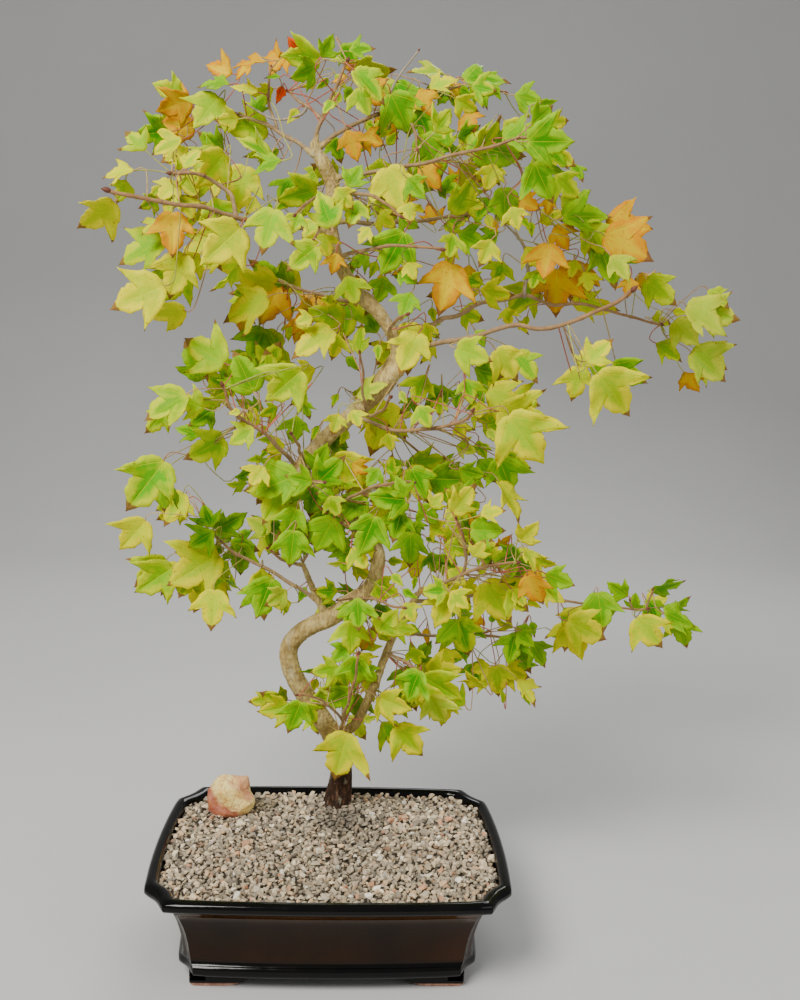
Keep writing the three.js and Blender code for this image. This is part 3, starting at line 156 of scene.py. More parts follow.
# Materials: each is one Principled shader fed by a few texture nodes.
class Look:
    """A material under construction, with short calls for the nodes that it uses."""

    def __init__(self, name, **values):
        self.material = bpy.data.materials.new(name)
        self.material.use_nodes = True
        self.tree = self.material.node_tree
        self.shader = self.tree.nodes["Principled BSDF"]
        for socket, value in values.items():
            self.shader.inputs[socket.replace("_", " ")].default_value = value
        self.place = self.node("ShaderNodeTexCoord").outputs["Object"]

    def node(self, kind, **settings):
        node = self.tree.nodes.new(kind)
        for key, value in settings.items():
            setattr(node, key, value)
        return node

    def link(self, source, target):
        self.tree.links.new(source, target)

    def stretched(self, stretch):
        mapping = self.node("ShaderNodeMapping")
        mapping.inputs["Scale"].default_value = stretch
        self.link(self.place, mapping.inputs["Vector"])
        return mapping.outputs["Vector"]

    def noise(self, scale, detail=3.0, stretch=(1, 1, 1), distortion=0.0):
        node = self.node("ShaderNodeTexNoise")
        node.inputs["Scale"].default_value = scale
        node.inputs["Detail"].default_value = detail
        node.inputs["Distortion"].default_value = distortion
        self.link(self.stretched(stretch), node.inputs["Vector"])
        return node.outputs["Fac"]

    def cells(self, scale, feature="F1", stretch=(1, 1, 1)):
        node = self.node("ShaderNodeTexVoronoi", feature=feature)
        node.inputs["Scale"].default_value = scale
        self.link(self.stretched(stretch), node.inputs["Vector"])
        return node.outputs["Distance"]

    def ramp(self, source, stops):
        node = self.node("ShaderNodeValToRGB")
        elements = node.color_ramp.elements
        while len(elements) < len(stops):
            elements.new(0.5)
        for element, (place, colour) in zip(elements, stops):
            element.position = place
            element.color = (*colour, 1.0) if isinstance(colour, tuple) else (colour, colour, colour, 1.0)
        self.link(source, node.inputs["Fac"])
        return node.outputs["Color"]

    def mix(self, share, a, b, blend="MIX"):
        node = self.node("ShaderNodeMix", data_type="RGBA", blend_type=blend)
        for socket, value in ((node.inputs[0], share), (node.inputs[6], a), (node.inputs[7], b)):
            if isinstance(value, bpy.types.NodeSocket):
                self.link(value, socket)
            elif isinstance(value, tuple):
                socket.default_value = (*value, 1.0)
            else:
                socket.default_value = value
        return node.outputs[2]

    def math(self, operation, a, b=0.0):
        node = self.node("ShaderNodeMath", operation=operation)
        for socket, value in zip(node.inputs, (a, b)):
            if isinstance(value, bpy.types.NodeSocket):
                self.link(value, socket)
            else:
                socket.default_value = value
        return node.outputs[0]

    def add(self, a, b):
        return self.math("ADD", a, b)

    def less(self, a, b):
        return self.math("SUBTRACT", a, b)

    def times(self, a, b):
        return self.math("MULTIPLY", a, b)

    def attribute(self, name, output="Color"):
        return self.node("ShaderNodeAttribute", attribute_name=name).outputs[output]

    def colour(self, source):
        self.link(source, self.shader.inputs["Base Color"])

    def rough(self, source, low, high):
        node = self.node("ShaderNodeMapRange")
        node.inputs["To Min"].default_value = low
        node.inputs["To Max"].default_value = high
        self.link(source, node.inputs["Value"])
        self.link(node.outputs[0], self.shader.inputs["Roughness"])

    def bump(self, source, distance, strength=1.0):
        node = self.node("ShaderNodeBump")
        node.inputs["Distance"].default_value = distance
        node.inputs["Strength"].default_value = strength
        self.link(source, node.inputs["Height"])
        self.link(node.outputs[0], self.shader.inputs["Normal"])


SRGB_KNEE = 10 / 255


def srgb(red, green, blue):
    """A colour read from the photo, 0 to 255, as linear light."""
    shares = [value / 255 for value in (red, green, blue)]
    return tuple(v / 12.92 if v <= SRGB_KNEE else ((v + 0.055) / 1.055) ** 2.4 for v in shares)


# Trunk, from its foot in the soil to the crown fork: x, z, depth, radius.
TRUNK = [
    (4, 69, 17, 9.5), (4, 88, 27, 12.4), (4, 98, 29, 12.6), (6, 116, 29, 11.2), (7, 132, 28, 10.4),
    (3, 156, 27, 9.6), (-4, 170, 25, 9.3), (-15, 186, 23, 9), (-29, 206, 20, 8.8), (-40, 228, 17, 8.6),
    (-43, 245, 15, 8.5), (-36, 258, 13, 8.4), (-22, 268, 10, 8.3), (-6, 276, 8, 8.6), (11, 289, 6, 7.7),
    (29, 304, 4, 7), (35, 323, 2, 6.6), (33, 340, 0, 6.8), (18, 356, -3, 6.8), (-4, 378, -4, 7),
    (-24, 394, -4, 7.2), (-34, 410, -4, 7.4), (-17, 433, -2, 7.2), (3, 453, 0, 7), (20, 469, 0, 7.5),
    (35, 486, -2, 9.8), (43, 500, -4, 8.6), (46, 515, -6, 5.6), (41, 529, -7, 5.2), (29, 547, -8, 6),
    (15, 560, -8, 6.4), (0, 577, -8, 5.8), (-10, 598, -10, 5.6), (-15, 631, -10, 5.4), (-13, 651, -12, 5.8),
    (-20, 667, -14, 6.2), (-27, 678, -15, 4.6), (-30, 686, -16, 3.2),
]
# Second stem, which leaves the trunk low on the right.
SECOND_STEM = [
    (2, 146, 27, 5), (8, 166, 20, 5.2), (20, 178, 14, 4.6), (34, 210, 7, 4.2), (43, 237, 2, 3.8),
    (50, 257, -2, 3.6), (60, 278, -6, 3.3), (72, 300, -9, 3),
]
# Stubs left where branches were cut long ago, and the flare of the roots.
STUBS = [
    [(-6, 270, 8, 4), (-17, 291, 4, 3.4), (-25, 308, 0, 2.8), (-31, 323, -4, 2.4)],
    [(34, 486, -2, 6), (47, 495, -12, 5), (52, 500, -18, 3.6)],
    [(4, 106, 29, 6), (-8, 92, 22, 5), (-16, 80, 16, 3.4)],
    [(6, 104, 30, 6), (18, 90, 22, 5.2), (27, 79, 18, 3.4)],
    [(4, 106, 31, 6), (8, 100, 37, 5), (11, 95, 41, 3.4)],
]

# Sprays, with a stem's places as x, z and depth.
# A leaf is the x and z of its base as the eye sees them, aim, length, turn about its midrib, and colour.
SPRAYS = {
    "spray_crown": {
        "radii": (2.4, 1.4),
        "stems": [
            [(-29, 680, -15), (-25, 700, -18), (-16, 722, -20), (-8, 740, -22), (-3, 752, -22)],
            [(-24, 706, -18), (-38, 716, -10), (-52, 726, 0)],
        ],
        "leaves": [
            (-26, 753, 178, 34, 40, "l"), (-25, 754, 60, 22, 35, "g"), (-2, 760, 12, 23, 35, "g"),
            (3, 749, 352, 36, 65, "p"), (3, 745, 320, 38, 40, "l"), (-28, 748, 215, 26, 45, "g"),
            (-4, 752, 180, 16, 50, "p"), (-2, 740, 200, 16, 40, "o"), (-28, 734, 205, 14, 50, "y"),
            (5, 731, 297, 27, 0, "l"), (-56, 730, 250, 16, 30, "r"), (-58, 737, 185, 14, 50, "g"),
            (-43, 712, 235, 16, 10, "y"), (-9, 727, 250, 16, 0, "l"), (-14, 720, 235, 16, 20, "l"),
            (-2, 697, 292, 28, 0, "o"), (12, 694, 330, 20, 30, "o"),
        ],
    },
    "spray_crown_right": {
        "radii": (2.4, 1.3),
        "stems": [
            [
                (-25, 682, -14), (0, 700, -12), (28, 712, -4), (56, 722, 8), (82, 734, 18), (110, 738, 26),
                (130, 733, 30),
            ],
            [(44, 718, 0), (54, 702, -12), (58, 684, -24)],
        ],
        "leaves": [
            (24, 690, 80, 20, 10, "l"), (34, 728, 300, 38, 0, "g"), (66, 733, 20, 26, 40, "y"),
            (58, 733, 300, 26, 20, "o"), (78, 745, 178, 32, 60, "p"), (72, 698, 55, 26, 20, "l"),
            (64, 697, 290, 44, 0, "g"), (33, 668, 290, 42, 0, "y"), (60, 672, 315, 30, 20, "o"),
            (50, 660, 310, 24, 25, "g"), (95, 742, 5, 42, 50, "g"), (99, 741, 338, 28, 40, "g"),
            (120, 738, 300, 14, 20, "g"), (92, 735, 318, 16, 30, "g"), (88, 727, 332, 24, 40, "y"),
            (138, 731, 350, 26, 10, "g"),
        ],
    },
    "spray_upper_right": {
        "radii": (2.3, 1.3),
        "stems": [
            [
                (-13, 657, -12), (20, 664, -22), (60, 672, -34), (95, 682, -44), (125, 690, -52),
                (150, 697, -58), (172, 694, -62),
            ],
        ],
        "leaves": [
            (154, 708, 42, 26, 20, "g"), (151, 694, 0, 40, 10, "g"), (172, 690, 318, 26, 40, "y"),
            (158, 677, 297, 38, 0, "g"), (176, 668, 320, 30, 10, "l"), (107, 688, 352, 46, 35, "g"),
            (104, 682, 65, 38, 70, "l"), (106, 684, 50, 36, 65, "l"), (124, 675, 255, 26, 0, "y"),
            (133, 655, 276, 32, 0, "g"), (146, 648, 330, 22, 20, "o"), (140, 640, 290, 22, 10, "y"),
            (100, 642, 345, 18, 30, "y"), (88, 634, 53, 38, 50, "l"),
        ],
    },
    "spray_right_upper": {
        "radii": (2.5, 1.3),
        "stems": [
            [
                (-12, 622, -10), (30, 622, -2), (80, 628, 10), (120, 636, 22), (160, 642, 32),
                (185, 636, 40), (205, 622, 46), (218, 610, 50),
            ],
        ],
        "leaves": [
            (182, 650, 340, 22, 30, "p"), (173, 650, 265, 18, 30, "o"), (185, 632, 8, 42, 40, "g"),
            (126, 628, 268, 16, 20, "o"), (157, 628, 280, 14, 10, "l"), (178, 625, 300, 24, 20, "o"),
            (202, 628, 310, 20, 10, "y"), (212, 622, 5, 16, 20, "l"), (124, 612, 250, 26, 15, "y"),
            (198, 598, 260, 18, 20, "y"), (205, 618, 308, 30, 50, "l"), (218, 610, 290, 40, 20, "g"),
            (228, 602, 310, 28, 20, "p"), (222, 619, 338, 50, 20, "o"), (174, 610, 262, 32, 0, "o"),
            (91, 616, 262, 24, 20, "l"), (95, 616, 340, 30, 20, "g"),
        ],
    },
    "spray_upper_front": {
        "radii": (2.2, 1.3),
        "stems": [
            [(-11, 640, -10), (8, 646, -28), (30, 640, -46), (46, 628, -60)],
        ],
        "leaves": [
            (0, 650, 60, 24, 0, "g"), (10, 640, 250, 26, 0, "l"), (44, 628, 330, 20, 10, "g"),
            (26, 630, 320, 20, 0, "y"), (49, 615, 243, 42, 0, "g"), (20, 618, 235, 18, 30, "y"),
        ],
    },
    "spray_upper_low": {
        "radii": (2.2, 1.3),
        "stems": [
            [(-7, 592, -10), (20, 600, -28), (50, 604, -44), (82, 602, -54)],
        ],
        "leaves": [
            (-8, 596, 260, 20, 20, "o"), (1, 577, 290, 28, 0, "l"), (20, 596, 215, 22, 20, "g"),
            (26, 590, 250, 16, 10, "l"), (34, 578, 255, 26, 10, "g"), (45, 582, 330, 20, 10, "g"),
            (52, 590, 300, 18, 10, "y"), (57, 565, 250, 26, 0, "g"), (91, 590, 258, 46, 0, "o"),
        ],
    },
    "spray_upper_left_front": {
        "radii": (2, 1.3),
        "stems": [
            [(-16, 638, -10), (-24, 642, -24), (-34, 636, -40), (-44, 626, -52)],
            [(-24, 641, -24), (-22, 622, -32), (-28, 606, -42)],
        ],
        "leaves": [
            (-13, 617, 112, 34, 0, "l"), (-10, 650, 310, 24, 20, "y"), (-26, 648, 202, 36, 35, "l"),
            (-40, 628, 250, 20, 0, "l"), (-22, 612, 290, 24, 0, "y"), (-25, 601, 222, 34, 0, "l"),
        ],
    },
    "spray_top_left": {
        "radii": (2.4, 1.3),
        "stems": [
            [
                (-29, 676, -15), (-52, 690, -4), (-80, 702, 10), (-108, 708, 22), (-134, 700, 32),
                (-150, 692, 38),
            ],
            [(-60, 694, 0), (-68, 720, 6), (-66, 744, 10)],
        ],
        "leaves": [
            (-70, 749, 185, 30, 60, "o"), (-60, 752, 100, 16, 50, "o"), (-100, 729, 178, 28, 55, "g"),
            (-109, 719, 235, 34, 0, "l"), (-133, 717, 203, 32, 35, "o"), (-129, 694, 178, 32, 30, "o"),
            (-150, 690, 195, 28, 30, "g"), (-139, 684, 205, 30, 35, "y"), (-112, 679, 206, 34, 65, "l"),
            (-92, 702, 190, 20, 20, "y"), (-69, 697, 185, 38, 0, "l"), (-79, 707, 60, 20, 20, "g"),
            (-76, 724, 165, 24, 50, "y"), (-66, 672, 152, 30, 50, "l"), (-56, 670, 200, 28, 50, "g"),
        ],
    },
    "spray_left_branch": {
        "radii": (3, 1.9),
        "stems": [
            [
                (-14, 614, -10), (-40, 616, -18), (-69, 619, -26), (-93, 622, -34), (-121, 629, -42),
                (-142, 631, -46), (-170, 634, -52), (-200, 640, -56),
            ],
            [(-93, 622, -34), (-100, 642, -32), (-122, 655, -30), (-148, 656, -30)],
        ],
        "leaves": [
            (-196, 631, 218, 40, 45, "y"), (-179, 657, 190, 28, 50, "y"), (-147, 624, 272, 38, 10, "o"),
            (-155, 600, 205, 44, 30, "l"), (-142, 649, 225, 24, 20, "y"), (-142, 655, 315, 26, 10, "y"),
            (-138, 660, 55, 24, 40, "y"), (-104, 674, 238, 38, 40, "y"), (-86, 664, 256, 42, 0, "y"),
            (-113, 638, 288, 30, 0, "l"), (-90, 614, 228, 46, 0, "y"), (-62, 630, 255, 40, 0, "l"),
            (-108, 613, 200, 18, 20, "y"), (-78, 640, 250, 18, 30, "y"), (-155, 617, 215, 22, 50, "y"),
            (-137, 590, 248, 42, 0, "y"), (-155, 563, 205, 48, 15, "y"), (-92, 582, 226, 33, 80, "l"),
        ],
    },
    "spray_left_upper": {
        "radii": (2.2, 1.3),
        "stems": [
            [(22, 553, -8), (-6, 557, 6), (-31, 562, 16), (-60, 572, 26), (-74, 576, 32)],
        ],
        "leaves": [
            (-56, 567, 243, 40, 0, "o"), (-60, 569, 170, 38, 50, "y"), (-66, 556, 206, 46, 35, "y"),
            (-69, 530, 250, 32, 0, "g"), (-58, 528, 240, 34, 30, "l"), (-31, 555, 253, 33, 60, "o"),
            (-45, 537, 260, 18, 40, "p"), (-27, 541, 200, 18, 20, "y"), (-11, 531, 214, 42, 40, "y"),
            (-6, 528, 262, 24, 20, "y"), (0, 557, 270, 37, 0, "l"),
        ],
    },
    "spray_left_mid": {
        "radii": (2.6, 1.4),
        "stems": [
            [
                (-36, 408, -4), (-50, 423, -14), (-68, 440, -24), (-86, 451, -32), (-97, 462, -38),
                (-104, 480, -42),
            ],
        ],
        "leaves": [
            (-102, 499, 150, 42, 0, "l"), (-77, 475, 116, 40, 0, "g"), (-135, 471, 212, 42, 35, "l"),
            (-101, 474, 208, 38, 70, "l"), (-111, 460, 218, 26, 15, "g"), (-102, 434, 210, 38, 15, "l"),
            (-88, 458, 190, 12, 20, "y"), (-70, 450, 170, 22, 40, "y"), (-76, 444, 213, 28, 20, "l"),
            (-36, 495, 222, 44, 0, "l"), (-32, 478, 230, 18, 30, "l"), (-154, 413, 235, 56, 0, "l"),
            (-93, 400, 20, 22, 60, "g"), (-67, 411, 235, 22, 10, "y"), (-52, 422, 210, 18, 30, "y"),
        ],
    },
    "spray_centre_left": {
        "radii": (2, 1.3),
        "stems": [
            [(-32, 414, -4), (-36, 424, -22), (-38, 431, -40), (-44, 440, -54)],
        ],
        "leaves": [
            (-49, 430, 195, 20, 20, "y"), (-39, 456, 262, 27, 0, "g"), (-46, 397, 240, 42, 0, "l"),
            (-38, 404, 205, 44, 20, "g"),
        ],
    },
    "spray_centre_low": {
        "radii": (2, 1.3),
        "stems": [
            [(-28, 398, -4), (-30, 396, -24), (-22, 398, -40), (-14, 398, -50)],
        ],
        "leaves": [
            (-22, 396, 262, 32, 0, "g"), (-20, 398, 45, 34, 10, "g"), (-24, 398, 170, 26, 10, "g"),
            (-10, 386, 300, 22, 0, "l"),
        ],
    },
    "spray_centre": {
        "radii": (2.2, 1.3),
        "stems": [
            [(18, 464, 0), (24, 458, -24), (34, 462, -44), (42, 474, -58)],
            [(22, 459, -18), (18, 474, -28), (17, 496, -36), (14, 512, -44)],
        ],
        "leaves": [
            (14, 510, 92, 28, 45, "l"), (4, 520, 300, 10, 30, "p"), (50, 480, 300, 14, 30, "p"),
            (12, 474, 30, 30, 60, "p"), (39, 470, 255, 48, 0, "y"), (8, 462, 300, 18, 20, "y"),
            (-3, 459, 255, 20, 10, "y"), (2, 441, 232, 24, 0, "g"), (40, 443, 285, 18, 10, "y"),
        ],
    },
    "spray_centre_top": {
        "radii": (2.2, 1.3),
        "stems": [
            [(38, 530, -8), (40, 534, -28), (44, 540, -42), (54, 546, -50)],
        ],
        "leaves": [
            (30, 520, 270, 16, 20, "l"), (64, 530, 245, 38, 0, "y"), (70, 540, 280, 20, 30, "y"),
        ],
    },
    "spray_right_mid": {
        "radii": (2.4, 1.4),
        "stems": [
            [(8, 458, 0), (45, 446, -10), (72, 447, -22), (106, 455, -34), (114, 464, -38)],
        ],
        "leaves": [
            (72, 495, 250, 30, 0, "l"), (86, 487, 270, 22, 10, "g"), (92, 482, 215, 26, 20, "g"),
            (66, 468, 300, 24, 10, "l"), (107, 493, 285, 24, 0, "l"), (137, 465, 345, 50, 10, "y"),
            (146, 462, 308, 58, 0, "y"), (128, 484, 330, 34, 10, "y"), (121, 474, 265, 18, 20, "y"),
            (112, 465, 330, 20, 40, "l"), (128, 449, 310, 16, 20, "p"), (100, 453, 300, 18, 20, "y"),
            (139, 424, 295, 38, 0, "g"), (78, 404, 358, 38, 0, "g"), (104, 413, 345, 26, 20, "g"),
            (106, 402, 262, 20, 30, "p"), (140, 402, 303, 40, 65, "y"),
        ],
    },
    "spray_right_back": {
        "radii": (3, 1.4),
        "stems": [
            [
                (42, 506, -2), (60, 526, 4), (83, 542, 10), (96, 546, 14), (116, 557, 18), (136, 561, 22),
                (155, 566, 26), (177, 559, 30), (201, 560, 34), (224, 557, 36), (246, 551, 38),
                (276, 545, 40),
            ],
            [(155, 566, 26), (155, 602, 28), (130, 632, 24)],
        ],
        "leaves": [
            (106, 590, 265, 18, 20, "o"), (103, 578, 345, 18, 20, "l"), (135, 594, 250, 24, 0, "l"),
            (116, 569, 350, 30, 45, "y"), (140, 555, 280, 18, 30, "y"), (166, 588, 250, 20, 40, "l"),
            (182, 589, 272, 42, 0, "o"), (206, 588, 290, 20, 0, "y"), (198, 566, 340, 40, 60, "y"),
            (261, 583, 322, 36, 10, "l"), (286, 557, 350, 14, 20, "y"), (288, 548, 318, 32, 0, "p"),
            (298, 561, 330, 46, 30, "p"), (305, 522, 325, 44, 0, "p"),
        ],
    },
    "spray_right_front": {
        "radii": (2.8, 1.9),
        "stems": [
            [
                (46, 512, -5), (64, 518, -16), (84, 523, -26), (98, 525, -32), (121, 532, -38),
                (149, 540, -44), (168, 538, -46), (190, 541, -50), (213, 552, -54), (237, 563, -56),
                (249, 573, -58),
            ],
        ],
        "leaves": [
            (223, 501, 312, 52, 0, "y"), (213, 509, 50, 30, 30, "y"), (236, 509, 330, 34, 30, "g"),
            (98, 519, 340, 33, 0, "l"), (132, 518, 310, 36, 0, "y"),
        ],
    },
    "spray_mid_front": {
        "radii": (2, 1.2),
        "stems": [
            [(-2, 378, -4), (10, 386, -22), (28, 394, -36), (48, 400, -46), (64, 400, -52)],
        ],
        "leaves": [
            (-6, 422, 312, 40, 0, "y"), (10, 416, 330, 20, 20, "o"), (34, 412, 235, 20, 0, "g"),
            (46, 404, 95, 22, 50, "l"), (21, 386, 225, 32, 0, "g"), (61, 384, 173, 38, 0, "g"),
            (58, 386, 115, 22, 15, "g"), (55, 375, 255, 30, 0, "g"), (64, 355, 269, 34, 0, "g"),
            (74, 382, 300, 26, 0, "g"), (59, 412, 305, 36, 0, "y"), (62, 412, 300, 32, 20, "g"),
            (92, 358, 320, 24, 40, "y"), (80, 362, 330, 20, 10, "y"),
        ],
    },
    "spray_low_front": {
        "radii": (1.9, 1.2),
        "stems": [
            [(20, 356, -3), (14, 356, -22), (8, 358, -36), (2, 362, -46)],
        ],
        "leaves": [
            (9, 342, 260, 28, 0, "g"), (11, 340, 310, 24, 0, "y"), (-5, 366, 243, 38, 0, "g"),
            (-4, 366, 285, 24, 0, "g"), (31, 369, 250, 40, 0, "g"), (3, 326, 185, 14, 40, "p"),
        ],
    },
    "spray_low_left": {
        "radii": (2.4, 1.3),
        "stems": [
            [
                (-17, 291, 4), (-27, 297, 8), (-41, 306, 12), (-58, 316, 16), (-78, 326, 20),
                (-96, 336, 22), (-112, 350, 24), (-122, 366, 26),
            ],
        ],
        "leaves": [
            (-170, 360, 230, 46, 0, "y"), (-137, 385, 240, 34, 30, "y"), (-110, 352, 215, 30, 0, "g"),
            (-108, 353, 30, 32, 20, "g"), (-112, 355, 110, 24, 10, "g"), (-106, 331, 212, 54, 10, "y"),
            (-118, 330, 170, 26, 30, "y"), (-146, 319, 217, 44, 0, "l"), (-86, 342, 267, 32, 0, "g"),
            (-109, 299, 265, 38, 0, "y"), (-88, 301, 145, 24, 60, "l"), (-59, 310, 250, 36, 0, "g"),
            (-45, 300, 215, 24, 20, "p"),
        ],
    },
    "spray_low_left_inner": {
        "radii": (1.9, 1.3),
        "stems": [
            [(-31, 323, -4), (-46, 326, -16), (-62, 337, -24)],
            [(-31, 325, -4), (-27, 338, -16), (-30, 352, -24)],
        ],
        "leaves": [
            (-38, 374, 248, 32, 0, "g"), (-40, 354, 264, 36, 0, "g"), (-60, 352, 150, 26, 0, "p"),
            (-52, 352, 250, 16, 20, "y"),
        ],
    },
    "spray_low_centre": {
        "radii": (2, 1.2),
        "stems": [
            [(11, 291, 6), (16, 294, -14), (34, 293, -30), (48, 288, -40), (60, 286, -46)],
            [(15, 294, -12), (4, 292, -20), (0, 292, -26)],
        ],
        "leaves": [
            (14, 273, 268, 34, 0, "l"), (18, 295, 272, 30, 0, "g"), (0, 300, 178, 22, 0, "l"),
            (37, 262, 55, 30, 0, "l"), (52, 268, 350, 22, 0, "l"), (27, 262, 255, 18, 20, "o"),
            (60, 291, 300, 22, 0, "y"), (32, 308, 338, 26, 0, "l"), (33, 306, 305, 20, 10, "l"),
            (48, 317, 315, 16, 10, "l"), (58, 303, 330, 16, 20, "g"),
        ],
    },
    "spray_right_low": {
        "radii": (2.4, 1.3),
        "stems": [
            [
                (74, 302, -9), (90, 308, -20), (108, 316, -30), (122, 322, -36), (136, 327, -42),
                (160, 330, -48),
            ],
            [(112, 318, -31), (114, 336, -36), (110, 354, -40), (104, 368, -44)],
        ],
        "leaves": [
            (100, 374, 50, 34, 20, "y"), (125, 372, 15, 24, 50, "y"), (102, 378, 115, 22, 60, "y"),
            (102, 372, 300, 34, 30, "l"), (117, 359, 0, 32, 0, "g"), (117, 359, 88, 20, 10, "g"),
            (96, 348, 330, 26, 0, "l"), (93, 340, 0, 24, 0, "l"), (120, 334, 60, 20, 0, "y"),
            (98, 322, 320, 22, 0, "y"), (128, 318, 85, 14, 0, "y"), (82, 338, 285, 22, 0, "g"),
            (160, 349, 48, 26, 0, "y"), (162, 338, 200, 28, 0, "g"), (165, 344, 302, 26, 60, "y"),
            (176, 322, 150, 26, 20, "g"), (163, 325, 215, 22, 0, "y"), (131, 311, 305, 48, 0, "y"),
            (152, 304, 318, 28, 0, "l"), (184, 317, 178, 20, 0, "o"), (170, 318, 300, 34, 20, "o"),
            (186, 320, 340, 30, 0, "g"), (100, 302, 250, 36, 0, "y"), (100, 303, 185, 28, 10, "l"),
            (101, 302, 320, 22, 10, "y"),
        ],
    },
    "spray_long_twig": {
        "radii": (2, 1.2),
        "stems": [
            [
                (66, 292, -6), (100, 294, 0), (140, 302, 6), (173, 304, 10), (203, 296, 14), (225, 293, 16),
                (268, 289, 20), (281, 290, 20),
            ],
            [(268, 289, 20), (264, 300, 18)],
            [(281, 290, 20), (285, 307, 18)],
        ],
        "leaves": [
            (208, 277, 335, 44, 0, "y"), (212, 277, 285, 34, 0, "y"), (235, 304, 278, 36, 0, "g"),
            (263, 301, 150, 24, 20, "g"), (272, 281, 312, 40, 10, "y"), (285, 308, 13, 32, 50, "g"),
            (297, 287, 337, 36, 55, "g"),
        ],
    },
    "spray_low_right": {
        "radii": (1.9, 1.2),
        "stems": [
            [
                (52, 262, -3), (70, 262, 6), (90, 261, 12), (110, 264, 16), (128, 263, 20), (150, 260, 24),
                (164, 261, 26),
            ],
        ],
        "leaves": [
            (109, 277, 289, 40, 0, "l"), (109, 276, 228, 30, 0, "g"), (110, 278, 60, 20, 10, "l"),
            (140, 274, 90, 12, 0, "g"), (162, 266, 257, 30, 0, "g"), (160, 270, 160, 20, 50, "y"),
            (163, 266, 322, 20, 0, "g"), (176, 257, 305, 28, 35, "g"), (125, 268, 320, 14, 0, "g"),
            (98, 250, 285, 22, 0, "y"), (81, 268, 272, 16, 30, "o"), (69, 250, 288, 20, 30, "l"),
            (145, 234, 281, 34, 0, "y"), (140, 234, 200, 20, 0, "y"), (137, 212, 140, 28, 60, "y"),
            (152, 230, 350, 24, 0, "y"), (165, 221, 313, 28, 60, "y"),
        ],
    },
    "spray_second_stem": {
        "radii": (1.8, 1.2),
        "stems": [
            [(44, 244, 1), (54, 240, -14), (66, 234, -26), (80, 220, -34)],
        ],
        "leaves": [
            (86, 204, 298, 34, 10, "p"), (79, 223, 327, 46, 0, "l"), (80, 223, 268, 30, 0, "l"),
            (82, 224, 15, 34, 10, "y"), (76, 228, 250, 34, 30, "g"), (57, 175, 310, 40, 0, "y"),
        ],
    },
    "spray_bottom": {
        "radii": (2, 1.3),
        "stems": [
            [(6, 160, 26), (7, 178, 6), (13, 200, -8), (18, 222, -16), (20, 242, -20)],
            [(7, 180, 4), (-8, 196, -8), (-22, 202, -14), (-34, 203, -18)],
        ],
        "leaves": [
            (18, 240, 268, 32, 0, "g"), (3, 230, 190, 26, 0, "l"), (4, 229, 290, 20, 0, "l"),
            (24, 232, 310, 22, 0, "g"), (-20, 228, 200, 14, 50, "g"), (-2, 207, 170, 16, 0, "p"),
            (14, 208, 215, 32, 0, "g"), (20, 206, 270, 28, 0, "g"), (26, 180, 15, 14, 0, "p"),
            (-40, 192, 188, 30, 0, "y"), (-31, 197, 250, 32, 0, "g"), (-28, 196, 300, 24, 0, "l"),
            (12, 168, 256, 50, 0, "y"), (41, 202, 343, 30, 0, "y"),
        ],
    },
}

LEAF_COLOURS = {
    "g": (srgb(50, 140, 0), srgb(150, 196, 0)),
    "l": (srgb(88, 174, 0), srgb(204, 218, 0)),
    "y": (srgb(164, 204, 0), srgb(232, 222, 0)),
    "o": (srgb(236, 200, 0), srgb(226, 150, 0)),
    "r": (srgb(186, 24, 14), srgb(216, 80, 20)),
    "p": (srgb(150, 190, 30), srgb(206, 214, 50)),
}
UNDERSIDE = srgb(170, 196, 30)
UNDERSIDE_SHARE = 0.3
FINE_VEIN_COLOUR = srgb(206, 214, 0)
VEIN_COLOUR = srgb(224, 224, 0)
SPOT_COLOUR = srgb(150, 98, 40)
DRY_EDGE_COLOUR = srgb(146, 84, 26)
DRY_TIP_COLOUR = srgb(140, 92, 56)
MOTTLE_TINT = (0.5, 0.6, 0.2)
# Directions of the two pairs of side veins, across and along the blade.
SIDE_VEIN = (0.697, 0.716)
LOW_VEIN = (0.334, 0.943)
LOW_VEIN_FADE = 0.05
FINE_VEIN_SLANT = 0.9
FINE_VEIN_RATE = 31.0
TWIG_PATCH_TINT = (0.55, 0.48, 0.4)
TWIG_GRAIN_TINT = (0.6, 0.55, 0.5)


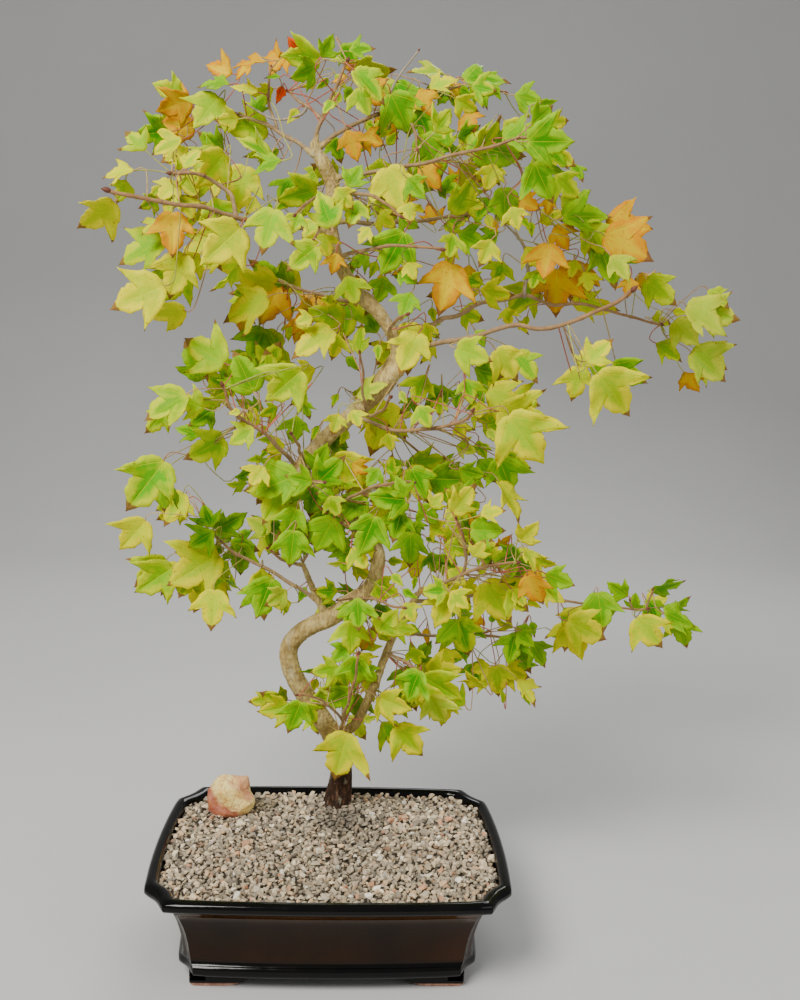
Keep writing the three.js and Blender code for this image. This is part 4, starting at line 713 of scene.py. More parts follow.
def leaf_look():
    """A trident leaf: pale veins, greener flesh beside them, yellow margins and brown dry tips."""
    look = Look("leaf", Roughness=0.5, Specular_IOR_Level=0.05)
    split = look.node("ShaderNodeSeparateXYZ")
    look.link(look.attribute("blade", "Vector"), split.inputs[0])
    along = split.outputs[0]
    across = look.math("ABSOLUTE", look.less(split.outputs[1], 0.5))
    edge = look.attribute("edge", "Fac")
    dry = look.attribute("dry", "Fac")
    side = look.less(look.times(across, SIDE_VEIN[0]), look.times(along, SIDE_VEIN[1]))
    side = look.math("ABSOLUTE", side)
    low = look.less(look.times(across, LOW_VEIN[0]), look.times(along, LOW_VEIN[1]))
    low = look.math("ABSOLUTE", low)
    low = look.add(low, look.times(across, LOW_VEIN_FADE))
    main = look.math("MINIMUM", across, look.math("MINIMUM", side, low))
    slant = look.less(along, look.times(across, FINE_VEIN_SLANT))
    pinnate = look.math("ABSOLUTE", look.math("SINE", look.times(slant, FINE_VEIN_RATE)))
    vein = look.ramp(main, [(0.0, 1.0), (0.004, 0.8), (0.011, 0.0)])
    fine = look.ramp(pinnate, [(0.0, 0.5), (0.07, 0.25), (0.16, 0.0)])
    flesh = look.ramp(main, [(0.0, 1.0), (0.05, 0.75), (0.13, 0.0)])
    patches = look.noise(130.0, 3.0)
    margin = look.add(look.times(edge, 0.75), look.times(patches, 0.65))
    margin = look.less(margin, look.times(flesh, 0.28))
    margin = look.ramp(margin, [(0.46, 0.0), (0.84, 1.0)])
    colour = look.mix(margin, look.attribute("tone"), look.attribute("rim"))
    mottle = look.times(look.noise(600.0, 2.0), 0.22)
    colour = look.mix(mottle, colour, MOTTLE_TINT, "MULTIPLY")
    colour = look.mix(look.times(fine, 0.3), colour, FINE_VEIN_COLOUR)
    colour = look.mix(look.times(vein, 0.5), colour, VEIN_COLOUR)
    spots = look.ramp(look.noise(420.0, 2.0), [(0.67, 0.0), (0.71, 0.55)])
    colour = look.mix(spots, colour, SPOT_COLOUR)
    burnt = look.add(dry, look.times(look.noise(330.0, 2.0), 0.5))
    burnt = look.ramp(burnt, [(0.9, 0.0), (1.0, 0.9)])
    thin = look.add(edge, look.times(look.noise(210.0, 2.0), 0.45))
    thin = look.ramp(look.less(thin, 0.5), [(0.74, 0.0), (0.79, 0.7)])
    colour = look.mix(thin, colour, DRY_EDGE_COLOUR)
    colour = look.mix(burnt, colour, DRY_TIP_COLOUR)
    look.colour(colour)
    look.rough(look.noise(250.0), 0.34, 0.6)
    relief = look.less(look.noise(900.0, 2.0), look.times(vein, 1.6))
    look.bump(relief, 0.0002, 0.7)
    return look.material


def twig_look():
    look = Look("twig", Roughness=0.7)
    grain = look.noise(700.0, 3.0)
    patches = look.ramp(look.noise(170.0, 4.0), [(0.38, 0.75), (0.62, 0.0)])
    colour = look.mix(look.times(patches, 0.8), look.attribute("tone"), TWIG_PATCH_TINT, "MULTIPLY")
    colour = look.mix(look.times(grain, 0.5), colour, TWIG_GRAIN_TINT, "MULTIPLY")
    look.colour(colour)
    look.rough(grain, 0.5, 0.85)
    look.bump(grain, 0.0003)
    return look.material


leaf_material = leaf_look()
twig_material = twig_look()

# What a leaf's own shape is drawn between, as in the part's source.
LEAN = (-10, 24)
SWAY = (-15, 15)
FOLD = (0.1, 0.32)
CURL = (0.05, 0.15)
LOBE_REACH = (0.82, 1.12)
BACK_DRIFT = (-9, 9)
BACK_TURN = (-30, 30)
BACK_SIZE = 0.85
BACK_FROM = 30
BACK_EVERY = 6
FIRST_SEED = 4001
SEED_STEP = 97
READING_Y = 50
DEPTH_GAIN = 1.6
SHOULDERED_FROM = 32
LOBED_FROM = 18
CAD_HALF_THICKNESS = 0.45
MOUTH = 0.75
FOUND_WITHIN = 0.06
AHEAD = 0.05


def at(x, z, depth):
    return EYE + (np.array([x, READING_Y, z]) - EYE) * (1 + depth / (READING_Y - EYE[1]))


def between(limits, draw):
    return limits[0] + (limits[1] - limits[0]) * draw()


def leaf_form(reading, draw):
    """A leaf's axes and own shape: the same draws, in the same order, as its solid had."""
    x, z, aim, length, turn, tone = reading
    lean = math.radians(between(LEAN, draw))
    aim = math.radians(aim)
    if turn == 0:
        sway = math.radians(between(SWAY, draw))
    else:
        sway = math.radians(turn) * (-1 if draw() < 0.5 else 1)
    along = np.array([math.cos(aim) * math.cos(lean), -math.sin(lean), math.sin(aim) * math.cos(lean)])
    flat = np.array([-math.sin(aim), 0, math.cos(aim)])
    across = flat * math.cos(sway) + np.cross(along, flat) * math.sin(sway)
    return {
        "read": np.array([x, READING_Y, z]),
        "along": along,
        "across": across,
        "out": np.cross(along, across),
        "length": length / math.cos(lean),
        "fold": between(FOLD, draw),
        "curl": between(CURL, draw),
        "left": between(LOBE_REACH, draw),
        "right": between(LOBE_REACH, draw),
        "tone": tone,
    }


def leaf_forms(spray, draw):
    """The forms of a spray's read leaves and of their twins. A bare draw is one that only the solid uses."""
    forms = []
    for i, reading in enumerate(spray["leaves"]):
        forms.append(leaf_form(reading, draw))
        draw()
        x, z, aim, length, turn, tone = reading
        if length < BACK_FROM or i % BACK_EVERY != 1:
            continue
        drift = between(BACK_DRIFT, draw)
        rise = between(BACK_DRIFT, draw)
        turned = aim + between(BACK_TURN, draw)
        forms.append(leaf_form((x + drift, z + rise, turned, length * BACK_SIZE, turn, tone), draw))
        draw()
    return forms


class Solid:
    """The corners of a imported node, in millimetres from the pot's middle, and which share an edge."""

    def __init__(self, name):
        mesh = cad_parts[name].data
        places = np.empty(len(mesh.vertices) * 3)
        mesh.vertices.foreach_get("co", places)
        places = (places.reshape(-1, 3) - POT_MIDDLE) / MM
        self.points, same = np.unique(np.round(places, 3), axis=0, return_inverse=True)
        same = same.ravel()
        self.beside = [set() for _ in self.points]
        for edge in mesh.edges:
            a, b = same[edge.vertices[0]], same[edge.vertices[1]]
            if a != b:
                self.beside[a].add(b)
                self.beside[b].add(a)

    def nearest(self, place):
        gaps = np.linalg.norm(self.points - place, axis=1)
        k = int(gaps.argmin())
        return k, gaps[k]

    def base_of(self, form):
        """Where a leaf's base is in the solid: its tip and mouth lie on known rays from the eye."""
        reach = form["read"] - EYE
        ray = reach + form["length"] * (form["along"] - form["curl"] * form["out"])
        moved = self.points - EYE - form["out"] * CAD_HALF_THICKNESS
        scales = moved @ ray / (ray @ ray)
        misses = np.linalg.norm(moved - scales[:, None] * ray, axis=1)
        for k in np.flatnonzero(misses < FOUND_WITHIN):
            base = EYE + scales[k] * reach
            low, gap = self.nearest(base - form["out"] * MOUTH)
            if gap < FOUND_WITHIN:
                return base, scales[k], low
        return None

    def petiole(self, form, base, low):
        """The middles of the rings that lead from a leaf's mouth back to its bud."""
        top = base + form["out"] * CAD_HALF_THICKNESS
        corners = [top + form["across"] * side * MOUTH for side in (-1, 1)]
        ring = {low} | {self.nearest(corner)[0] for corner in corners}
        seen = set(ring)
        for k in ring:
            seen |= {n for n in self.beside[k] if (self.points[n] - base) @ form["along"] > AHEAD}
        route = []
        while True:
            following = set().union(*(self.beside[k] for k in ring)) - seen
            if len(following) != 3:
                return route
            route.append(self.points[list(following)].mean(axis=0))
            seen |= following
            ring = following


# How far a tube's closed end stands out, as a share of its radius, and where its first ring starts.
TUBE_END = 0.5
TUBE_ACROSS = (1.0, 0.2, 0.1)


def smooth(places, step):
    """Points about a step apart on a smooth curve through places, which may carry more than x, y, z."""
    places = np.asarray(places, dtype=float)
    before = 2 * places[0] - places[1]
    after = 2 * places[-1] - places[-2]
    knots = np.vstack([before, places, after])
    made = []
    for a, b, c, d in zip(knots, knots[1:], knots[2:], knots[3:]):
        count = max(2, int(np.linalg.norm(c[:3] - b[:3]) / step))
        for t in np.arange(count) / count:
            made.append(0.5 * (2 * b + (c - a) * t + (2 * a - 5 * b + 4 * c - d) * t**2
                               + (3 * b - a - 3 * c + d) * t**3))
    made.append(places[-1])
    return np.array(made)


def bands(rings, sides):
    """The faces between neighbouring rings of points."""
    faces = []
    for i in range(rings - 1):
        for k in range(sides):
            a = i * sides + k
            b = i * sides + (k + 1) % sides
            faces.append((a, b, b + sides, a + sides))
    return faces


def unit(way):
    return way / np.linalg.norm(way)


def tube(path, radii, sides, lumps=None):
    """A round closed tube along a path: its points and faces."""
    path = np.asarray(path, dtype=float)
    across = np.array(TUBE_ACROSS)
    points = []
    for i in range(len(path)):
        along = path[min(i + 1, len(path) - 1)] - path[max(i - 1, 0)]
        along /= np.linalg.norm(along)
        across = across - across @ along * along
        across /= np.linalg.norm(across)
        other = np.cross(along, across)
        for k in range(sides):
            angle = 2 * math.pi * k / sides
            radius = radii[i] * (lumps(angle, i) if lumps else 1)
            points.append(path[i] + radius * (across * math.cos(angle) + other * math.sin(angle)))
    faces = bands(len(path), sides)
    last = len(path) * sides
    points.append(path[0] - unit(path[1] - path[0]) * radii[0] * TUBE_END)
    points.append(path[-1] + unit(path[-1] - path[-2]) * radii[-1] * TUBE_END)
    for k in range(sides):
        following = (k + 1) % sides
        faces.append((following, k, last))
        faces.append((last - sides + k, last - sides + following, last + 1))
    return points, faces


# A half of a fine blade's outline, from its base to its tip, as shares of its length.
# A lobed blade has a side lobe, scaled by its own reach, and a larger one has a round shoulder below it.
BASE_SHOULDERED = [(-0.02, 0.1), (0.02, 0.22), (0.11, 0.31)]
BASE_WEDGE = [(0.05, 0.1), (0.14, 0.21)]
SIDE_LOBE_UNDER = [(0.22, 0.385), (0.34, 0.46), (0.46, 0.53)]
SIDE_LOBE_TIP = (0.6, 0.61)
SIDE_LOBE_OVER = [(0.545, 0.48), (0.515, 0.39), (0.49, 0.31)]
NOTCH = (0.475, 0.245)
MIDDLE_LOBE = [(0.56, 0.262), (0.66, 0.24), (0.76, 0.175), (0.87, 0.082), (0.95, 0.024)]
YOUNG_HALF = [(0.06, 0.12), (0.2, 0.25), (0.36, 0.3), (0.46, 0.22), (0.6, 0.17), (0.8, 0.08), (0.92, 0.03)]
TOOTH = 0.017
TOOTH_LEAST = 0.4
TOOTH_SLANT = 0.4
# Edges of a half outline, at its base and at its tip, that stay without teeth.
BASE_SMOOTH = 2
TIP_SMOOTH = 2
RINGS = (1.0, 0.8, 0.5, 0.22)
SPINE = 0.36
FINE_THICKNESS = 0.42
WAVE = 0.034
WAVE_RATE = (9, 14)
CRINKLE = 0.009
CRINKLE_RATES = (38, 21)
# How far from the midrib, as a share of the length, a blade's side starts to droop.
WING = 0.3
DROOP = (-0.15, 0.75)
DRY_FROM = 0.7
MOST_DRY = 0.95
DRY_POWER = 0.7
DRY_SIDE_REACH = 1.18
MOST_RIPE = 0.45
LEAF_BRIGHTNESS = (0.85, 1.15)


def half_outline(length, reach, teeth):
    """Half a blade's outline as (s, t) points, with its own small teeth."""
    if length < LOBED_FROM:
        half = [(0, 0)] + YOUNG_HALF + [(1, 0)]
    else:
        lobe = [(s * reach, t * reach) for s, t in SIDE_LOBE_UNDER + [SIDE_LOBE_TIP] + SIDE_LOBE_OVER]
        start = BASE_SHOULDERED if length >= SHOULDERED_FROM else BASE_WEDGE
        half = [(0, 0)] + start + lobe + [NOTCH] + MIDDLE_LOBE + [(1, 0)]
    fine = []
    for k, (a, b) in enumerate(zip(half, half[1:])):
        fine.append(a)
        middle = ((a[0] + b[0]) / 2, (a[1] + b[1]) / 2)
        if BASE_SMOOTH <= k < len(half) - 1 - TIP_SMOOTH:
            bite = TOOTH * (TOOTH_LEAST + teeth()) * (1 if k % 2 else -1)
            middle = (middle[0] + bite * TOOTH_SLANT, middle[1] + bite)
        fine.append(middle)
    return fine[1:]


class Growth:
    """The mesh of one spray under construction, with what its materials read at each point."""

    def __init__(self):
        self.points = []
        self.faces = []
        self.slots = []
        self.tone = []
        self.rim = []
        self.blade = []
        self.edge = []
        self.dry = []

    def add(self, points, faces, slot, tone, rim=None, blade=None, edge=None, dry=None):
        first = len(self.points)
        count = len(points)
        self.points.extend(points)
        self.faces.extend(tuple(first + k for k in face) for face in faces)
        self.slots.extend([slot] * len(faces))
        self.tone.extend([tone] * count if len(np.shape(tone)) == 1 else tone)
        self.rim.extend([rim if rim is not None else (0, 0, 0)] * count)
        self.blade.extend(blade if blade is not None else [(0, 0.5, 0)] * count)
        self.edge.extend(edge if edge is not None else [0] * count)
        self.dry.extend(dry if dry is not None else [0] * count)

    def piece(self, name):
        piece = new_object(name, to_frame(self.points), self.faces, [leaf_material, twig_material])
        piece.data.polygons.foreach_set("material_index", self.slots)
        add_colours(piece, "tone", self.tone)
        add_colours(piece, "rim", self.rim)
        add_colours(piece, "blade", self.blade)
        add_values(piece, "edge", self.edge)
        add_values(piece, "dry", self.dry)
        return piece


# The share by which a blade that would pass the side of the box is made smaller, and how often at most.
SHRINK = 0.95
MOST_SHRINKS = 12


def stays_inside(place, room):
    """Whether a ball around a place stays inside the CAD model's box."""
    centre = np.array(to_frame(place))
    low = np.array(cad_box[0]) + room * MM
    high = np.array(cad_box[1]) - room * MM
    return bool(np.all(centre >= low) and np.all(centre <= high))


def drawn_in(places, base):
    """A blade made smaller about its base until it stays inside the CAD model's box."""
    for _ in range(MOST_SHRINKS):
        if all(stays_inside(place, FINE_THICKNESS) for place in (places.min(axis=0), places.max(axis=0))):
            break
        places = base + (places - base) * SHRINK
    return places


def add_blade(growth, form, base, size, draw, rings=RINGS):
    """A fine blade on a solid's base, folded and curled as the solid is, with a slight wave of its own."""
    right = [(s, -t) for s, t in half_outline(form["length"], form["right"], draw)]
    left = half_outline(form["length"], form["left"], draw)[::-1]
    outline = [(0, 0)] + right + [(1, 0)] + left
    n = len(outline)
    phase = 2 * math.pi * draw()
    rate = between(WAVE_RATE, draw)
    dryness = MOST_DRY * draw() ** DRY_POWER
    droop = between(DROOP, draw)
    flat = []
    for share in rings:
        flat.extend((SPINE + (s - SPINE) * share, t * share, share) for s, t in outline)
    flat.append((SPINE, 0, 0))
    places = []
    for s, t, share in flat:
        lift = form["fold"] * abs(t) - form["curl"] * s * s
        lift += WAVE * math.sin(rate * s + 2 * t + phase) * (abs(t) / WING) * share
        crinkle = math.sin(CRINKLE_RATES[0] * s + CRINKLE_RATES[1] * t + phase)
        lift += CRINKLE * crinkle * share * min(1, 4 * abs(t) + s)
        lift -= droop * max(0, abs(t) - WING) ** 2
        places.append(base + (form["along"] * s + form["across"] * t + form["out"] * lift) * size)
    places = drawn_in(np.array(places), base)
    half = form["out"] * FINE_THICKNESS / 2
    count = len(places)
    faces = []
    for ring in range(len(rings) - 1):
        for k in range(n):
            a = ring * n + k
            b = ring * n + (k + 1) % n
            faces.append((a, b, b + n, a + n))
            faces.append((count + a + n, count + b + n, count + b, count + a))
    inner = (len(rings) - 1) * n
    for k in range(n):
        following = (k + 1) % n
        faces.append((inner + k, inner + following, count - 1))
        faces.append((count + inner + following, count + inner + k, 2 * count - 1))
        faces.append((k, count + k, count + following, following))
    base_tone, rim_tone = LEAF_COLOURS[form["tone"]]
    ripe = MOST_RIPE * draw()
    tone = np.array(base_tone) * (1 - ripe) + np.array(rim_tone) * ripe
    tone = tone * between(LEAF_BRIGHTNESS, draw)
    under = tone * (1 - UNDERSIDE_SHARE) + np.array(UNDERSIDE) * UNDERSIDE_SHARE
    # A draw that nothing reads: it keeps the later draws of the spray as they were.
    draw()
    blade = [(s, t + 0.5, 0) for s, t, share in flat] * 2
    edge = [share for s, t, share in flat] * 2
    far = [max(s, math.hypot(s, t) * DRY_SIDE_REACH) for s, t, share in flat]
    dry = [max(0.0, (reach - DRY_FROM) / (1 - DRY_FROM)) ** 2 * dryness * share
           for reach, (s, t, share) in zip(far, flat)] * 2
    tones = [tone] * count + [under] * count
    growth.add(list(places + half) + list(places - half), faces, 0, tones, rim_tone, blade, edge, dry)


STEM_SIDES = 10
PETIOLE_SIDES = 6
PETIOLE_RADIUS = (0.55, 0.43)
BARK_TONE = srgb(178, 152, 108)
YOUNG_BARK_TONE = srgb(166, 122, 74)
PETIOLE_TONES = (srgb(204, 110, 84), srgb(206, 158, 104), srgb(206, 178, 110), srgb(186, 186, 80))
BUD_TONE = srgb(120, 64, 40)
BARE_TONE = srgb(176, 162, 140)
STEM_SLIM = 0.8
# Dead twigs without leaves, by the spray that carries them: x, z and depth.
BARE_TWIGS = {
    "spray_crown_right": [[(30, 716, -8), (38, 738, -10), (56, 763, -12)]],
    "spray_right_back": [[(155, 566, 40), (155, 602, 36), (130, 632, 30)]],
    "spray_crown": [[(-40, 708, -6), (-62, 703, 2), (-86, 714, 6)]],
}
# Small leaves inside the clusters, behind the ones that were read one by one.
INNER_TRIES = 2
INNER_SHARE = 0.72
INNER_DRIFT = (-21, 21)
INNER_TURN = (-55, 55)
INNER_SIZE = (0.5, 0.9)
INNER_DEPTH = (16, 60)
INNER_LEAST = 13
INNER_RINGS = (1.0, 0.6)
# Share of its length that an inner leaf is kept from the sides of the box.
INNER_ROOM = 0.62
LOWEST_LEAF = 120
NODE_PITCH = 28
NODE_SWELLING = 0.28
NODE_HALF_LENGTH = 1.6
STEM_SWAY = 0.5
STEM_SWAY_RATES = (0.21, 0.17, 0.13)
STEM_RIPPLE = 0.04
STEM_RIPPLE_RATE = 0.9
STEM_STEP = 3
PETIOLE_STEP = 3.5
# A stalk's own lengths: into its blade, and behind it where the solid has no ring or only one.
PETIOLE_INTO = 0.6
PETIOLE_BEHIND = (7, 6)
PETIOLE_BEND = 0.45
PETIOLE_SWELLING = 1.25
PETIOLE_BRIGHTNESS = (0.8, 1.2)
BUD_SIDES = 8
BUD_PLACES = (-0.3, 0.25, 0.7, 1.15, 1.6)
BUD_RADII = (0.42, 0.62, 0.56, 0.36, 0.08)
TIP_BUD_SIZE = 2.4
BARE_RADIUS = 1.3
BARE_TAPER = 0.55
BARE_BUD_SIZE = 1.5
INNER_MOST_TURN = 50
SIDE_STEM_THICKNESS = 0.8
# Points at the start of a side stem that a bend from the first stem takes the place of.
REJOINED = 5
OWN_SEED_STEP = 11


def stem_paths(spray):
    """Each stem's points and radii, the first one thicker than its side stems."""
    thick, thin = spray["radii"]
    root = spray["stems"][0][0][2]
    made = []
    for k, stem in enumerate(spray["stems"]):
        share = 1 if k == 0 else SIDE_STEM_THICKNESS
        path = smooth([at(x, z, root + DEPTH_GAIN * (depth - root)) for x, z, depth in stem], STEM_STEP)
        done = np.linspace(0, 1, len(path))
        made.append((path, STEM_SLIM * share * (thick + (thin - thick) * done)))
    return made


def add_stem(growth, path, radii, draw):
    """A stem with a swollen ring at each node, browner and redder towards its tip."""
    gone = np.concatenate([[0], np.cumsum(np.linalg.norm(np.diff(path, axis=0), axis=1))])
    start = draw() * NODE_PITCH
    near = np.abs((gone - start) % NODE_PITCH)
    near = np.minimum(near, NODE_PITCH - near)
    node_swelling = NODE_SWELLING * np.exp(-(near / NODE_HALF_LENGTH) ** 2)
    swollen = radii * (1 + node_swelling + STEM_RIPPLE * np.sin(gone * STEM_RIPPLE_RATE))
    turns = [gone * rate for rate in STEM_SWAY_RATES]
    sway = [np.sin(turns[0] + start), np.cos(turns[1]), np.sin(turns[2])]
    bent = path + STEM_SWAY * np.column_stack(sway)
    points, faces = tube(bent, swollen, STEM_SIDES)
    done = np.repeat(np.linspace(0, 1, len(path)), STEM_SIDES)
    done = np.concatenate([done, [0, 1]])[:, None]
    tone = np.array(BARK_TONE) * (1 - done) + np.array(YOUNG_BARK_TONE) * done
    growth.add(points, faces, 1, list(tone))


def nearest_on(paths, place):
    best = None
    for path, _ in paths:
        gaps = np.linalg.norm(path - place, axis=1)
        k = int(gaps.argmin())
        if best is None or gaps[k] < best[0]:
            best = (gaps[k], path[k])
    return best[1]


def add_petiole(growth, route, paths, base, form, draw):
    """A thin stalk from the stem's own line, through the rings of the solid, to the blade."""
    knots = [base + form["along"] * PETIOLE_INTO] + route[:]
    start = nearest_on(paths, knots[-1])
    if not route:
        knots.append(base - form["along"] * PETIOLE_BEHIND[0])
    if len(route) < 2:
        knots.append(base + (start - base) * PETIOLE_BEND - form["along"] * PETIOLE_BEHIND[1])
    knots.append(start)
    path = smooth(knots[::-1], PETIOLE_STEP)
    radii = np.linspace(*PETIOLE_RADIUS, len(path))
    radii[-2:] = PETIOLE_RADIUS[1] * PETIOLE_SWELLING
    points, faces = tube(path, radii, PETIOLE_SIDES)
    tone = np.array(PETIOLE_TONES[int(draw() * len(PETIOLE_TONES))])
    tone = tone * between(PETIOLE_BRIGHTNESS, draw)
    growth.add(points, faces, 1, tone)


def add_inner_leaf(growth, spray, form, scale, paths, draw):
    """Sometimes a smaller leaf behind a read one, on its own stalk."""
    skip = draw() > INNER_SHARE
    x = form["read"][0] + between(INNER_DRIFT, draw)
    z = form["read"][2] + between(INNER_DRIFT, draw)
    aim = math.degrees(math.atan2(form["along"][2], form["along"][0])) + between(INNER_TURN, draw)
    length = form["length"] * between(INNER_SIZE, draw)
    tone = spray["leaves"][int(draw() * len(spray["leaves"]))][-1]
    turn = INNER_MOST_TURN * draw()
    inner = leaf_form((x, z, aim, length, turn, tone), draw)
    scale += between(INNER_DEPTH, draw) / (READING_Y - EYE[1])
    base = EYE + scale * (inner["read"] - EYE)
    reach = inner["length"] * scale
    middle = base + 0.5 * reach * np.array(inner["along"])
    fits = stays_inside(middle, INNER_ROOM * reach)
    if skip or length < INNER_LEAST or base[2] < LOWEST_LEAF or not fits:
        return
    add_blade(growth, inner, base, reach, draw, INNER_RINGS)
    add_petiole(growth, [], paths, base, inner, draw)


def add_bud(growth, tip, along, size):
    """A small pointed bud that ends a stem."""
    path = [tip + along * size * share for share in BUD_PLACES]
    points, faces = tube(path, [size * share for share in BUD_RADII], BUD_SIDES)
    growth.add(points, faces, 1, BUD_TONE)


def add_bare_twig(growth, places, paths):
    """A leafless twig that starts on the nearest stem."""
    route = [at(x, z, depth) for x, z, depth in places]
    path = smooth([nearest_on(paths, route[0])] + route, STEM_STEP)
    radii = np.linspace(BARE_RADIUS, BARE_TAPER * BARE_RADIUS, len(path))
    points, faces = tube(path, radii, BUD_SIDES)
    growth.add(points, faces, 1, BARE_TONE)
    add_bud(growth, path[-1], unit(path[-1] - path[-2]), BARE_BUD_SIZE)


def make_spray(name, spray, seed):
    """A spray's fine stems, leaves, stalks and buds, in the place of its solid."""
    draw = dice(seed)
    forms = leaf_forms(spray, draw)
    solid = Solid(name)
    growth = Growth()
    own = dice(seed + OWN_SEED_STEP)
    paths = stem_paths(spray)
    for k, (path, radii) in enumerate(paths):
        if k > 0:
            joint = nearest_on(paths[:1], path[0])
            bend = smooth([joint, path[0], path[min(REJOINED, len(path)) - 1]], STEM_STEP)[:-1]
            path = np.array(bend.tolist() + path[REJOINED:].tolist())
            radii = np.linspace(radii[0], radii[-1], len(path))
        add_stem(growth, path, radii, own)
        along = path[-1] - path[-2]
        add_bud(growth, path[-1], unit(along), TIP_BUD_SIZE * radii[-1])
    for places in BARE_TWIGS.get(name, []):
        add_bare_twig(growth, places, paths)
    for form in forms:
        place = solid.base_of(form)
        if place is None:
            continue
        base, scale, low = place
        route = solid.petiole(form, base, low)
        add_blade(growth, form, base, form["length"] * scale, own)
        add_petiole(growth, route, paths, base, form, own)
        for _ in range(INNER_TRIES):
            add_inner_leaf(growth, spray, form, scale, paths, own)
    piece = growth.piece(name + "_fine")
    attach(piece, "root")
    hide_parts(name)


for order, (name, spray) in enumerate(SPRAYS.items()):
    make_spray(name, spray, FIRST_SEED + SEED_STEP * order)

# Trunk: limbs swept along the same places as the solid's, merged by a fine remesh and roughened as bark.
TRUNK_VOXEL = 0.0011
BARK_FLAKE = 0.55
BARK_FLAKE_TOP = 150.0
BARK_FLAKE_FADE = 60.0
COLLAR_LENGTH = 13.0
COLLAR_FLARE = (1.75, 1.02)
COLLAR_SIDES = 14
COLLAR_LEAST_POINTS = 3
TRUNK_SIDES = 28
SECOND_STEM_SIDES = 20
STUB_SIDES = 16
RELAX_SHARE = 0.5
RELAX_ROUNDS = 5
# How tightly the bark's ridges, flakes and rings are set across the trunk and up it, and its fine grain.
RIDGE_RATES = np.array([0.35, 0.35, 0.13])
FLAKE_RATES = np.array([0.5, 0.5, 0.16])
FLAKE_SHIFT = np.array([0, 0, 40])
RING_RATES = np.array([0.06, 0.06, 0.42])
FINE_RATE = 0.8
SECOND_RIDGE_RATE = 1.7
# Heights in millimetres of the bark's parts, where those of the ridges and flakes are scaled by BARK_FLAKE.
RING_HEIGHT = 0.42
SECOND_RIDGE_HEIGHT = 0.26
HIGH_GRAIN = 0.14
LOW_GRAIN = 0.3
RIDGE_HEIGHT = 1.8
FLAKE_HEIGHT = 1.1
# Rings of the trunk over which its flutes fade out above the foot, and how far each ring turns them.
FLUTED_RINGS = 24
FLUTE_TURN = 0.16
# Two sets of flutes: how many go round, and how deep they are.
FLUTES = 4
FLUTE_DEPTH = 0.03
FOOT_FLUTE_DEPTH = 0.1
CROSS_FLUTES = 3
CROSS_FLUTE_DEPTH = 0.035
CROSS_FLUTE_TURN = 1.7


def wood_limb(places, sides, lumps=None):
    path = smooth([list(at(x, z, depth)) + [radius] for x, z, depth, radius in places], STEM_STEP)
    return tube(path[:, :3], path[:, 3], sides, lumps)


def trunk_lumps(angle, i):
    """How far the trunk swells at an angle of its ring i: flutes that are deepest at the foot."""
    foot = max(0, 1 - i / FLUTED_RINGS)
    slow = FLUTE_TURN * i
    main = (FLUTE_DEPTH + FOOT_FLUTE_DEPTH * foot) * math.cos(FLUTES * angle + slow)
    return 1 + main + CROSS_FLUTE_DEPTH * math.sin(CROSS_FLUTES * angle - CROSS_FLUTE_TURN * slow)


def collar(path, thick):
    """The swelling where a branch leaves the wood that carries it."""
    count = max(COLLAR_LEAST_POINTS, int(COLLAR_LENGTH / STEM_STEP))
    start = path[:count + 1]
    widest, narrowest = COLLAR_FLARE
    radii = np.linspace(thick * widest, thick * narrowest, len(start))
    return tube(start, radii, COLLAR_SIDES)


def bark_rise(place):
    """How far the bark stands out at a place: flakes and ridges low down, rings higher up."""
    low = max(0.0, min(1.0, (BARK_FLAKE_TOP - place[2]) / BARK_FLAKE_FADE))
    ridge_place = Vector((place * RIDGE_RATES).tolist())
    ridge = abs(noise.noise(ridge_place))
    flake = noise.noise(Vector((place * FLAKE_RATES + FLAKE_SHIFT).tolist()))
    fine = noise.noise(Vector(place.tolist()) * FINE_RATE)
    ring = noise.noise(Vector((place * RING_RATES).tolist()))
    second = noise.noise(ridge_place * SECOND_RIDGE_RATE)
    high = RING_HEIGHT * ring + SECOND_RIDGE_HEIGHT * second + HIGH_GRAIN * fine
    rough = BARK_FLAKE * (RIDGE_HEIGHT * ridge + FLAKE_HEIGHT * flake) + LOW_GRAIN * fine
    return low * rough + (1 - low) * high


def make_trunk():
    limbs = [wood_limb(TRUNK, TRUNK_SIDES, trunk_lumps), wood_limb(SECOND_STEM, SECOND_STEM_SIDES)]
    limbs += [wood_limb(stub, STUB_SIDES) for stub in STUBS]
    for spray in SPRAYS.values():
        path, radii = stem_paths(spray)[0]
        limbs.append(collar(path, radii[0]))
    points = []
    faces = []
    for limb_points, limb_faces in limbs:
        faces.extend(tuple(len(points) + k for k in face) for face in limb_faces)
        points.extend(limb_points)
    piece = new_object("trunk_bark", to_frame(points), faces, [bark_look()])
    remesh = piece.modifiers.new("merge", "REMESH")
    remesh.mode = "VOXEL"
    remesh.voxel_size = TRUNK_VOXEL
    remesh.use_smooth_shade = True
    relax = piece.modifiers.new("relax", "SMOOTH")
    relax.factor = RELAX_SHARE
    relax.iterations = RELAX_ROUNDS
    apply_modifiers(piece)
    mesh = piece.data
    moves = []
    for vertex in mesh.vertices:
        place = (np.array(vertex.co) - POT_MIDDLE) / MM
        moves.append(vertex.normal * bark_rise(place) * MM)
    for vertex, move in zip(mesh.vertices, moves):
        vertex.co += move
    mesh.update()
    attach(piece, "root")
    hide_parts("trunk")


def height_mask(look, low, high):
    """0 below a height in the frame and 1 above another, in metres."""
    split = look.node("ShaderNodeSeparateXYZ")
    look.link(look.place, split.inputs[0])
    node = look.node("ShaderNodeMapRange")
    node.inputs["From Min"].default_value = low
    node.inputs["From Max"].default_value = high
    look.link(split.outputs[2], node.inputs["Value"])
    return node.outputs[0]


